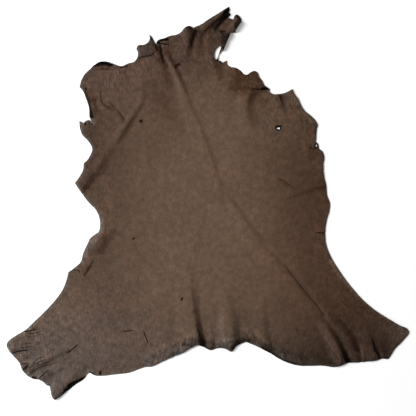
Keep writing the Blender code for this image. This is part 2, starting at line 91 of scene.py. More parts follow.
# The cut edge, anticlockwise from the notch left of the neck.  Each row is x and y.  The
# edge is a smooth curve through them, but for the rows that say CORNER.
CORNER = "corner"
OUTLINE = {
    "neck ear": [
        (-129, 407, CORNER), (-136, 418), (-141, 428), (-147, 433.5, CORNER), (-145, 424), (-148, 416),
        (-158, 408), (-175, 405), (-178, 399), (-174.5, 387), (-178, 373), (-185, 365), (-198, 361.5),
        (-217, 354)],
    "left shoulder": [
        (-230, 357), (-242, 362), (-270, 365), (-281, 359), (-295, 347), (-309, 333), (-316, 320),
        (-321, 302, CORNER), (-312, 292), (-306, 277), (-297, 250), (-294.5, 225), (-291, 217),
        (-287.5, 210, CORNER), (-292.5, 213.5)],
    "left foreleg": [
        (-296, 220, CORNER), (-305, 217), (-311, 211, CORNER), (-321, 217.5, CORNER), (-319, 197),
        (-314, 183), (-300, 168), (-289, 145), (-293, 134), (-302, 119), (-310, 111), (-311, 99),
        (-322, 76), (-332, 62.5, CORNER)],
    "left flank": [
        (-319, 42), (-299, 15), (-280, -5), (-272, -22), (-269.5, -45), (-273, -60), (-284, -68),
        (-292, -74)],
    "left thigh": [
        (-301, -91), (-312, -115), (-317, -133), (-338, -153), (-349, -160.5, CORNER), (-354, -181),
        (-362, -202), (-383, -232), (-412, -263), (-437, -287), (-456, -305), (-478, -318), (-496, -331),
        (-502.5, -340)],
    "left hind foot": [
        (-498, -354), (-485, -371), (-470, -389), (-464, -403), (-448, -421), (-437, -427), (-421, -429),
        (-412, -434), (-403, -443), (-395, -445, CORNER), (-392, -459), (-388, -472),
        (-382, -479.5, CORNER), (-369, -471), (-357, -461), (-331, -441), (-307, -424), (-302, -416),
        (-296, -412)],
    "left of the tail": [
        (-290, -415), (-281, -419), (-268, -419.5), (-236, -416.5), (-191, -410), (-172, -402.5),
        (-155, -397.5), (-143, -397), (-115, -384.5), (-85, -370.5), (-68, -364.5), (-40, -348.5),
        (-26, -342.5)],
    "right of the tail": [
        (-12, -347), (4, -355), (30, -349.5), (45, -352), (59, -358.5), (70, -346), (95, -334.5, CORNER),
        (117, -343), (155, -362.5), (180, -378), (205, -388.5), (230, -394)],
    "right hind foot": [
        (250, -394.5), (290, -394.5), (312, -397.5), (327, -395.5), (345, -388.5), (380, -385.5),
        (422, -380.5), (436, -377), (451, -377), (458, -367), (467, -353), (490, -329), (502.5, -309),
        (499, -303)],
    "right thigh": [
        (480, -294), (455, -279.5), (417, -255), (380, -222), (355, -193), (330, -158.5), (306, -119),
        (296, -92), (293.5, -74)],
    "right flank": [
        (297, -32), (304.5, -4), (305.5, 10), (298, 32), (296, 55), (290, 82), (289, 110), (291, 128),
        (287, 140.5), (277, 150), (276.5, 158), (273, 162.5), (270, 164.5, CORNER), (271, 175), (272, 195),
        (274.5, 209), (270, 217)],
    "right shoulder": [
        (255, 232.5), (243, 242), (231, 260), (226, 271.5), (217, 283.5), (211, 297, CORNER), (193, 287.5),
        (181, 284.5), (161, 285), (154.5, 290), (155, 297, CORNER), (142.5, 305), (136, 317), (128, 328),
        (124.5, 338), (114.5, 342.5), (105, 337.5), (97, 332.5), (90.5, 334), (80, 344), (70, 350),
        (55, 353), (48, 359)],
    "neck strap": [
        (47.5, 368.5, CORNER), (35, 362.5, CORNER), (32.5, 367, CORNER), (25.5, 368.5, CORNER),
        (26.5, 377), (29.5, 384.5), (34, 391, CORNER)],
    "strap side": [(33.5, 402), (34, 421), (35, 437, CORNER), (48, 434)],
    "under the hook": [(57.5, 435.5, CORNER), (65, 438.5, CORNER)],
    "hook side": [(66, 448), (66, 460, CORNER), (73, 466)],
    "neck crown": [
        (84.5, 465, CORNER), (81.5, 473), (71, 482.5), (65.5, 477), (64.5, 470.5, CORNER),
        (50, 475.5, CORNER), (57, 483, CORNER), (52.5, 489.5), (54.5, 495), (51.5, 503, CORNER),
        (42.5, 495.5), (30, 487.5), (5, 473), (-20, 457), (-36, 450, CORNER), (-47, 454), (-57, 449.5),
        (-67, 438.5), (-77, 433), (-95, 429.5), (-111, 423), (-122, 420.5), (-127, 415.5)],
}

# Stretches of the outline that turn over and lie back on the grain side.  The rows above
# give where their cut edge lies then.  The skin turns along the line, as seen from above,
# from the first point here to the second.
ROLL_RADIUS = 4.5
ROLL_TURN = math.radians(188.0)
ROLL_EASE = 0.2            # share of its length over which each end of a turn runs out
ROLL_END = 0.35            # share of the turn that is left at its ends
TURNED = {
    "strap side": ((36.5, 388), (57.5, 437)),
    "hook side": ((67.5, 440), (85.5, 466.5)),
}

# Holes through the skin.  name: x, y, length, width, turn of the length from +X, how far
# the middle is bowed to the left of the length, and how many lobes stand out how far
DARK_RIMMED = ("right tear", "flank loop")
HOLES = {
    "strap gap": (25.5, 387.5, 36, 11, 71, 3, 0, 0),
    "right tear": (176, 199, 8, 4.7, 178, 0, 3, 0.22),
    "flank loop": (270.8, 155.5, 6, 3.6, 80, 0, 0, 0),
}

# Folds of the skin.  A fold is a ridge, and each of its rows is one section, in order
# from its neck end: x and y of the crest, its height, and how far the ridge reaches to
# the right hand and to the left hand of someone who walks down the crest.
FOLDS = {
    "ear dome": [(-168, 393, 3, 22, 24), (-150, 392, 5, 24, 26), (-138, 398, 4, 20, 22)],
    "ear crest": [
        (-131, 396, 2, 30, 10), (-130, 368, 2, 36, 11), (-120, 342, 1.5, 40, 12), (-108, 312, 0.5, 40, 12)],
    "spine fold": [
        (-114, 405, 5, 8, 11), (-106, 390, 6, 9, 12), (-97, 371, 6, 9, 12), (-87, 351, 5.5, 9, 12),
        (-77, 331, 5, 10, 12), (-66, 307, 4, 14, 12), (-57, 282, 3.2, 22, 12), (-47, 252, 3, 30, 12),
        (-32, 220, 3, 36, 13), (-13, 175, 2.8, 38, 13), (0, 132, 2, 38, 14), (10, 95, 0.5, 38, 16)],
    "loin fold": [
        (52, 20, 0.5, 34, 14), (72, -10, 2, 34, 14), (92, -40, 2, 32, 13), (112, -72, 1.5, 30, 12),
        (140, -105, 1.2, 28, 9), (180, -140, 1.8, 28, 8), (215, -187, 2.2, 30, 7), (252, -235, 2.2, 30, 7),
        (280, -270, 2, 30, 8)],
    "thigh swell": [
        (205, -135, 0.5, 9, 26), (230, -165, 2, 8, 26), (270, -220, 2.4, 7, 26), (302, -272, 2.4, 7, 24),
        (318, -302, 1, 9, 20)],
    "neck pleat": [
        (-52, 448, 9, 24, 11), (-49, 430, 9, 30, 13), (-50, 410, 7, 34, 12), (-55, 390, 4, 36, 12),
        (-58, 362, 1, 36, 12)],
    "second neck pleat": [(-27, 446, 4, 12, 12), (-25, 416, 3, 12, 14), (-30, 386, 1, 12, 14)],
    "third neck pleat": [(2, 430, 3, 14, 14), (-1, 404, 2, 14, 16), (-4, 365, 0.5, 14, 16)],
    "crown pleat": [(44, 494, 9, 8, 9), (20, 475, 8, 9, 10), (0, 460, 6, 9, 10), (-17, 445, 3, 9, 12)],
    "crown inner pleat": [(47, 483, 8, 6, 7), (25, 469, 7, 6, 8), (5, 450, 4, 7, 10), (-4, 438, 1, 8, 10)],
    "hook rise": [(73, 471, 8, 14, 14), (70, 458, 8, 16, 16), (60, 446, 6, 16, 16), (48, 430, 4, 16, 16)],
    "left shoulder fold": [
        (-160, 282, 1, 14, 9), (-170, 260, 2, 14, 10), (-182, 240, 3, 13, 11), (-195, 224, 4, 12, 11),
        (-204, 209, 4.5, 11, 11), (-216, 192, 4, 12, 12), (-229, 176, 3, 14, 14), (-240, 155, 1.5, 20, 20),
        (-252, 135, 2, 22, 24), (-264, 117, 3.5, 18, 24), (-280, 97, 4.5, 18, 24), (-297, 80, 5.5, 20, 24),
        (-318, 60, 6, 20, 24)],
    "left foreleg swell": [
        (-294, 298, 0.5, 14, 13), (-289, 275, 2, 12, 11), (-287, 252, 1.5, 10, 11),
        (-285, 232, 0.5, 10, 12)],
    "left arc fold": [
        (-272, 295, 0.5, 14, 7), (-272, 263, 1.5, 16, 8), (-257, 247, 2.2, 16, 8), (-232, 238, 2.5, 16, 9),
        (-217, 219, 2.5, 14, 9), (-208, 205, 1, 10, 8)],
    "right lappet": [(112, 328, 4, 22, 16), (120, 312, 6, 24, 18), (126, 303, 6, 24, 18)],
    "right shoulder fold": [
        (106, 296, 5, 30, 15), (100, 277, 5, 30, 15), (95, 262, 4.5, 30, 15), (95, 245, 3.5, 30, 15),
        (100, 225, 2, 28, 14), (108, 200, 0.5, 24, 14)],
    "right foreleg fold": [
        (171, 284, 6, 24, 10), (178, 264, 5, 24, 10), (184, 245, 2, 20, 10), (190, 228, 0.5, 18, 10)],
    "right flank fold": [
        (182, 80, 1, 20, 14), (206, 66, 2, 20, 14), (240, 62, 3, 20, 14), (276, 66, 4, 20, 14)],
    "left hock fold": [
        (-265, -45, 0.5, 14, 14), (-272, -70, 2, 20, 30), (-280, -90, 3, 22, 34), (-288, -110, 3, 22, 28),
        (-298, -130, 1, 20, 14)],
    "left thigh fold": [
        (-327, -150, 2, 8, 10), (-312, -157, 3, 9, 14), (-302, -146, 3, 9, 16), (-289, -126, 1, 9, 16)],
    "tail fold": [
        (-43, -172, 0.5, 26, 7), (-45, -205, 2.5, 40, 11), (-40, -242, 4, 50, 13),
        (-35, -275, 5.5, 56, 15), (-30, -307, 7, 60, 18), (-26, -343, 8, 60, 22)],
    "second tail fold": [
        (47, -205, 0.5, 36, 16), (50, -245, 2.5, 36, 20), (53, -285, 5, 36, 28), (56, -320, 7.5, 38, 34),
        (57, -345, 8.5, 38, 36)],
    "third tail fold": [
        (132, -230, 1, 34, 16), (135, -280, 3, 36, 18), (138, -318, 5, 36, 22), (140, -350, 6, 34, 24)],
    "right leg fold": [
        (285, -280, 1.5, 26, 10), (302, -307, 5, 28, 11), (318, -332, 8, 30, 13), (330, -360, 9, 30, 15),
        (337, -390, 9, 30, 17)],
    "right leg second fold": [
        (310, -260, 0.5, 20, 10), (332, -292, 2.5, 22, 11), (352, -322, 4, 22, 13), (365, -350, 5, 22, 14),
        (370, -380, 5, 22, 14)],
    "right foot fold": [
        (385, -285, 0.5, 26, 10), (398, -312, 3, 28, 11), (408, -342, 6, 30, 13), (418, -375, 7, 30, 14)],
    "left toe fold": [(-380, -334, 1, 20, 16), (-430, -341, 4, 20, 18), (-486, -348, 6, 20, 18)],
    "left foot fold": [
        (-345, -360, 1, 20, 18), (-400, -382, 4, 20, 18), (-436, -397, 6, 20, 16), (-464, -403, 6, 18, 14)],
    "left foot crease": [(-372, -396, 1, 12, 14), (-396, -412, 4, 12, 14), (-416, -426, 5, 12, 14)],
    "heel tab": [
        (-318, -408, 4, 26, 16), (-344, -424, 8, 30, 20), (-362, -444, 11, 30, 22),
        (-378, -468, 11, 28, 22)],
}

# Loose waves of the skin, and of its edge: wavelength, direction of travel and where a
# crest lies.
WAVES = [(330, 20, 110), (250, 95, -40), (190, 140, 25), (145, 62, 70)]
EDGE_WAVES = [(155, 35, 12), (97, 118, 40)]

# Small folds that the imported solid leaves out.  Both sides of the sheet follow them.
# name: reach to the right and to the left, and rows of x, y and height
SMALL_FOLDS = {
    "knot upper ridge": (4, 5, [(-124, 413, 4), (-114, 415, 4), (-100, 412, 2)]),
    "knot lower ridge": (4, 4, [(-124, 405, 4), (-114, 407, 4), (-102, 404, 2)]),
    "ear hem": (7, 6, [(-178, 380, 3), (-166, 384, 3), (-148, 386, 3), (-138, 392, 2)]),
    "shoulder lip": (5, 6, [(-282, 352, 3), (-262, 354, 4), (-238, 351, 2)]),
    "lappet hem": (6, 8, [(108, 302, 3), (126, 301, 4), (150, 300, 5)]),
    "left of the tail pucker": (9, 8, [(-98, -330, 0.5), (-96, -350, 2), (-94, -372, 4)]),
    "tail pucker one": (9, 8, [(-70, -310, 1), (-66, -330, 2.5), (-62, -358, 4)]),
    "tail pucker two": (9, 9, [(4, -290, 0.5), (8, -315, 1.5), (8, -350, 3)]),
    "tail pucker three": (9, 8, [(28, -300, 0.5), (28, -325, 1.5), (27, -348, 3)]),
    "tail pucker four": (9, 9, [(100, -300, 0.5), (104, -315, 1), (108, -336, 2)]),
    "tail pucker five": (9, 9, [(180, -340, 0.5), (190, -376, 2)]),
    "tail pucker six": (9, 9, [(228, -360, 0.5), (236, -392, 1.5)]),
    "thigh pucker": (13, 8, [(322, -207, 0.5), (340, -231, 2.4), (362, -256, 2.4), (382, -274, 1)]),
    "right leg pucker": (9, 9, [(352, -296, 1), (376, -326, 2), (388, -352, 3), (390, -380, 4)]),
    "left foot pucker one": (6, 5, [(-400, -374, 1), (-424, -380, 2), (-446, -392, 3), (-460, -404, 4)]),
    "left foot pucker two": (6, 5, [(-396, -386, 1), (-416, -392, 2), (-434, -402, 3), (-448, -414, 4)]),
    "left foot pucker three": (6, 5, [(-392, -400, 1), (-404, -412, 3), (-418, -424, 4)]),
    "left toe pucker": (6, 6, [(-410, -318, 1), (-430, -318, 2.5), (-456, -316, 4)]),
    "flank stripe one": (3, 3, [(274, -57, 1), (293, -58, 1.5)]),
    "flank stripe two": (3, 3, [(276, -67, 1), (293, -68, 1.5)]),
    "flank stripe three": (3, 3, [(278, -74, 1), (293, -75, 1.5)]),
    "chest wrinkle one": (3, 3, [(-246, 332, 0.3), (-249, 312, 0.8), (-250, 290, 0.3)]),
    "chest wrinkle two": (3, 3, [(-232, 326, 0.3), (-234, 306, 0.7), (-236, 284, 0.3)]),
    "chest wrinkle three": (3, 3, [(-222, 330, 0.3), (-224, 308, 0.6), (-226, 290, 0.3)]),
    "elbow wrinkle one": (4, 4, [(188, 226, 0.3), (198, 214, 1.2), (196, 196, 0.3)]),
    "elbow wrinkle two": (4, 4, [(226, 232, 0.3), (232, 216, 1.4), (233, 196, 0.3)]),
    "elbow wrinkle three": (4, 4, [(242, 228, 0.3), (246, 210, 1.4), (246, 190, 0.3)]),
}

# Creases, scores and short knife cuts in the grain side, each a groove with painted shade
# along it.
# name: half width, depth, how black its painted shade is from 0 to 1, line
CREASES = {
    "rump cut": (1.7, 0.9, 0.95, [(-214, -308.5), (-200, -308), (-187, -305.5)]),
    "rump score": (1.7, 0.9, 0.95, [(-161, -307), (-159, -312.5), (-155, -322.5), (-148.5, -339)]),
    "thigh cut": (2.1, 0.9, 1, [(-352, -361), (-345, -359), (-337.5, -352.5), (-323, -340)]),
    "back score": (1.9, 0.8, 1, [(-62.5, -225), (-64.5, -228), (-66.5, -232)]),
    "back nick": (1.8, 0.6, 0.85, [(-182.5, -75), (-184.5, -77), (-186, -79)]),
    "toe crease": (2.1, 0.9, 1, [(-490, -366), (-482.5, -360.5), (-470, -356.5), (-447, -355)]),
    "toe wrinkle one": (1.5, 0.5, 0.6, [(-470, -350), (-455, -347), (-442, -345)]),
    "toe wrinkle two": (1.4, 0.4, 0.5, [(-465, -341), (-450, -338), (-436, -337)]),
    "instep crease": (2, 0.9, 1, [(-462, -309), (-452, -308.5), (-440, -305.5), (-427, -303)]),
    "instep wrinkle": (1.6, 0.7, 0.8, [(-450, -312), (-440, -315), (-430, -312.5), (-419, -310.5)]),
    "instep line": (1.1, 0.4, 0.3, [(-446, -320), (-430, -320), (-412, -314)]),
    "foot arc": (1.8, 0.9, 0.85, [(-469, -393), (-464, -389), (-450, -389)]),
    "foot arc below": (1.8, 0.9, 0.9, [(-463, -403), (-455, -397.5), (-447, -391)]),
    "foot fan one": (1.5, 0.8, 0.6, [(-446, -402), (-435, -392.5), (-420, -384), (-404, -378)]),
    "foot fan two": (1.5, 0.8, 0.65, [(-446, -412), (-430, -401.5), (-415, -395), (-399, -390)]),
    "foot fan three": (1.5, 0.6, 0.65, [(-438, -389), (-426, -378), (-410, -371)]),
    "foot fan four": (1.5, 0.6, 0.65, [(-437, -400), (-424, -393), (-405, -386), (-390, -383)]),
    "foot crease": (2, 0.9, 0.95, [(-424, -427), (-417.5, -422.5), (-410, -415), (-399, -405)]),
    "foot notch": (2.2, 0.9, 1, [(-439, -423), (-434, -423.5), (-429, -424)]),
    "foot notch below": (1.8, 0.9, 0.9, [(-421, -426), (-416, -428)]),
    "heel crease": (1.1, 0.5, 0.4, [(-404, -443), (-395, -441), (-387, -439)]),
    "thigh edge cut": (1.6, 0.9, 1, [(-338, -154), (-330, -155), (-321, -156), (-320, -163)]),
    "upper arc crease": (3.2, 0.5, 0.3, [(-266, 302), (-268, 278), (-265, 262), (-250, 254), (-235, 243)]),
    "lower arc crease": (3.2, 0.6, 0.36, [(-246, 262), (-234, 252), (-222, 240), (-212, 227), (-206, 217)]),
    "shoulder line one": (1.2, 0.4, 0.25, [(-268, 318), (-269, 296), (-272, 272)]),
    "shoulder line two": (1.2, 0.4, 0.25, [(-252, 322), (-252, 306), (-254, 294)]),
    "shoulder line three": (1.2, 0.4, 0.2, [(-262, 326), (-261, 308)]),
    "ear crease": (2.3, 0.8, 0.85, [(-179, 371), (-170, 375.5), (-160, 379), (-142, 380), (-131, 391)]),
    "knot line one": (2, 0.9, 1, [(-124, 418), (-114, 420), (-103, 418)]),
    "knot line two": (1.7, 0.8, 0.95, [(-122, 409), (-112, 411), (-98, 408)]),
    "spine crease": (3.2, 0.9, 1, [(-118, 401), (-118, 388), (-115, 375), (-110, 360)]),
    "spine crease below": (1.6, 0.6, 0.15, [(-111, 364), (-106, 348), (-100, 332)]),
    "neck tick": (1.6, 0.7, 0.6, [(-82, 353), (-78, 357), (-73, 360)]),
    "crown crease one": (2.2, 0.9, 0.95, [(-8, 443), (2, 451), (12, 459), (35, 477), (44, 490)]),
    "crown crease two": (3.2, 0.9, 1, [(16, 446), (24, 455), (35, 467), (50, 478)]),
    "crown crease three": (1.3, 0.6, 0.5, [(-26, 452), (-10, 462), (10, 474), (26, 484)]),
    "crown spot": (3.2, 0.6, 1, [(34, 439), (38, 440), (41, 438)]),
    "neck pleat crease": (2.4, 0.8, 0.8, [(-32, 442), (-34, 430), (-38, 415)]),
    "shoulder overlap": (2.3, 0.9, 1, [(112, 297), (126, 296), (140, 296), (154, 297)]),
    "lappet streak one": (1.3, 0.5, 0.35, [(98, 312), (110, 310), (124, 306)]),
    "lappet streak two": (1.3, 0.5, 0.3, [(100, 322), (112, 319), (128, 314)]),
    "lappet streak three": (1.3, 0.5, 0.3, [(116, 332), (122, 324), (130, 318)]),
    "right flank crease": (1.8, 0.8, 1, [(271, -61.5), (282, -62.5), (294, -62)]),
    "right flank scratch": (1.9, 0.4, 0.55, [(182, 71.5), (192, 66.5), (210, 53)]),
    "right thigh crease": (2.6, 0.7, 0.5, [
        (188, -135), (205, -160), (222, -182), (242, -207), (260, -230), (275, -247), (290, -268)]),
    "right leg crease": (1.4, 0.5, 0.35, [(292, -330), (300, -342), (310, -355), (325, -376)]),
    "right foot crease": (2.8, 0.9, 1, [(411, -330), (415, -345), (415, -355), (423, -363), (428, -372)]),
    "right leg scar": (1.5, 0.5, 0.6, [(221, -305), (223, -307)]),
    "left nail pit": (4.6, 1, 1, [(-168, 216.5), (-166, 215.5)]),
    "tail nail pit": (3.6, 1, 1, [(-268.5, -409), (-268.5, -411.5)]),
    "left shoulder dot": (2.4, 0.6, 1, [(-306, 297), (-303, 295.5)]),
    "tail crease": (3, 0.7, 0.6, [(-25, -300), (-20, -318), (-16, -336)]),
}
CREASE_TAPER = 0.18        # share of a crease over which each end runs out
CREASE_END_DEPTH = 0.3     # shares of its depth and painted shade that are left there
CREASE_END_BLACK = 0.4
CREASE_BLACK = 1.25        # above 1, its painted shade has an even black middle
LIP_REACH = 2.2            # the raised lip of a crease ends this many half widths out
LIP_SHARE = 0.25           # height of the lip for each unit of depth

# Looseness of the grain, where 1 is the loosest leg
SLACK_REACH = 75.0         # how far in from the edge the grain is loose
SLACK_SHARE = 0.45         # how loose it is at the edge
GRAIN_RELIEF = 0.22        # height of the grain for each unit of looseness
TIGHT_RELIEF = 0.4         # added to the looseness, so that tight grain has some too
PLAIN_EDGE = 1.0           # the grain has no relief this near the edge

# Where else it is loose.  name: x, y, reach along and across, turn, how loose
LOOSE = {
    "left leg": (-330, -320, 190, 110, 40, 0.56),
    "left foot": (-450, -370, 75, 65, 0, 0.85),
    "right leg": (360, -310, 130, 80, -30, 0.55),
    "left shoulder": (-260, 300, 90, 80, 90, 0.4),
    "neck": (-60, 420, 170, 80, 20, 0.85),
    "tail": (0, -340, 180, 45, 0, 0.5),
    "left flank": (-290, 75, 110, 45, 90, 0.35),
    "right shoulder": (190, 250, 110, 60, -40, 0.3),
}

# Edges whose grain is rubbed and flecked.  name: left, right, how loose, line
FRINGES = {
    "tail": (26, 14, 0.9, [
        (-145, -388), (-90, -365), (-30, -340), (10, -348), (60, -350), (95, -330), (135, -348),
        (185, -378)]),
    "right leg": (22, 10, 0.9, [(185, -378), (230, -388), (285, -390), (345, -382)]),
    "right foot": (16, 10, 0.8, [(405, -380), (450, -375), (475, -338), (498, -310)]),
    "right thigh": (10, 9, 0.8, [(490, -300), (445, -272), (390, -232), (345, -185), (310, -135)]),
    "right shoulder": (14, 8, 0.7, [(270, 210), (238, 245), (220, 270)]),
    "toe": (12, 8, 0.7, [(-430, -285), (-465, -310), (-498, -335), (-490, -360)]),
    "hock": (9, 10, 0.7, [(-260, -10), (-262, -60), (-290, -88), (-310, -135)]),
}

# Noise over the pattern.  name: its middle, and the size across, size along, layer and
# strength of each noise in it
NOISES = {
    "knife": (0, [(5, 5, 0, 1), (2.1, 2.1, 7, 0.6)]),
    "frill": (0.5, [(16, 16, 5, 0.7), (7, 7, 9, 0.4)]),
    "grain": (0, [(9, 13, 3, 1), (4.6, 6, 11, 0.7)]),
    "fleck": (0, [(5, 5, 21, 1)]),
    "wobble": (1, [(11, 11, 31, 0.5)]),
}

# Colour of the grain side
LEATHER = (0.0988, 0.0625, 0.0424)
LIT_SIDE = (-0.93, -0.37)  # the way to the light
# A greyer rim along the edge: partly wear of the raw edge, partly painted sheen, stronger where the edge
# faces the light.
WEAR_AND_SHEEN = (0.098, 0.096, 0.090)
WEAR_AND_SHEEN_REACH = 9.0
WEAR_AND_SHEEN_SHARE = 0.25          # how grey every edge is, from wear and painted sheen, and how much more painted sheen it has where it faces the light
PAINTED_SHEEN_SHARE = 0.45      # and how much more where it faces the light
WEAR_AND_SHEEN_FLECKS = 2.2          # contrast of its flecks
WEAR_AND_SHEEN_LIMIT = 1.6           # and how bright they get
WEAR_AND_SHEEN_FROM_HOLE = 12.0      # the small holes get no such rim, but have painted shade round their rims
# Painted shade round the rims of the small holes
RIM_DARK = 0.92
RIM_WIDTH = 4.0            # width over which the rim's darkness fades
RIM_END = 1.4              # where it has faded, in such widths
AWAY_REACH = 5.0           # the edge is darker where it faces away from the light
AWAY_DARK = 0.45
AWAY_FLECKS = 1.5          # how far its flecks break that up

# Slow changes of tone right across the skin; the right side one is painted shade, the
# fall-off of the light away from the key on the left.  Each sets in at one distance from
# the pattern's middle in its direction, and is complete at another.
# name: direction, start, end, tint
SLOPES = {
    "right side": (0, 20, 330, (0.56, 0.47, 0.42)),
    "right leg": (-40, 300, 560, (0.68, 0.71, 0.72)),
    "left shoulder": (150, 120, 400, (0.73, 0.7, 0.71)),
    "neck": (90, 200, 480, (0.63, 0.58, 0.57)),
    "tail edge": (-90, 220, 390, (0.76, 0.81, 0.89)),
}

# Broad patches of another tone.  name: x, y, reach along and across, turn, tint
PATCHES = {
    "left flank": (-330, 80, 270, 150, 90, (0.66, 0.63, 0.62)),
    "left thigh": (-258, -218, 130, 75, 90, (0.83, 0.81, 0.84)),
    "left leg": (-400, -380, 190, 110, 40, (1.03, 1.14, 1.26)),
    "crown": (10, 457, 110, 60, 25, (0.82, 0.8, 0.76)),
    "right of the neck": (90, 325, 80, 45, -35, (0.84, 0.79, 0.71)),
    "left of the spine": (-115, 272, 85, 32, -62, (0.67, 0.61, 0.57)),
    "shoulder top": (-235, 358, 140, 90, 0, (1.36, 1.38, 1.45)),
    "neck middle": (-5, 392, 105, 55, 20, (0.8, 0.8, 0.83)),
    "ear": (-155, 402, 28, 24, 20, (0.7, 0.8, 0.86)),
    "right flank": (242, 70, 110, 70, 90, (0.92, 0.88, 0.86)),
    "right chest": (235, 150, 130, 60, 90, (0.95, 1.01, 1.02)),
    "lappet": (125, 308, 40, 28, -35, (0.84, 0.8, 0.76)),
    "right shoulder": (130, 258, 50, 35, 0, (0.92, 0.91, 0.9)),
    "left back": (-135, 130, 60, 40, 90, (0.93, 0.92, 0.92)),
    "left loin": (-80, -130, 90, 60, 90, (1.05, 1.05, 1.05)),
    "left haunch": (-210, -350, 90, 45, 0, (1.08, 1.08, 1.09)),
    "left rump": (-130, -262, 140, 45, 0, (0.94, 0.94, 0.94)),
    "left ribs": (-160, 92, 34, 34, 0, (1.09, 1.08, 1.08)),
    "right ribs": (30, 92, 34, 34, 0, (1.08, 1.07, 1.07)),
    "right back": (98, -55, 130, 65, 90, (1.07, 1.06, 1.05)),
    "right loin": (160, -165, 60, 45, 90, (1.11, 1.09, 1.08)),
    "tail root": (84, -278, 60, 44, 90, (0.86, 0.85, 0.85)),
    "right leg tip": (490, -306, 46, 34, 0, (1.62, 1.85, 2.05)),
}
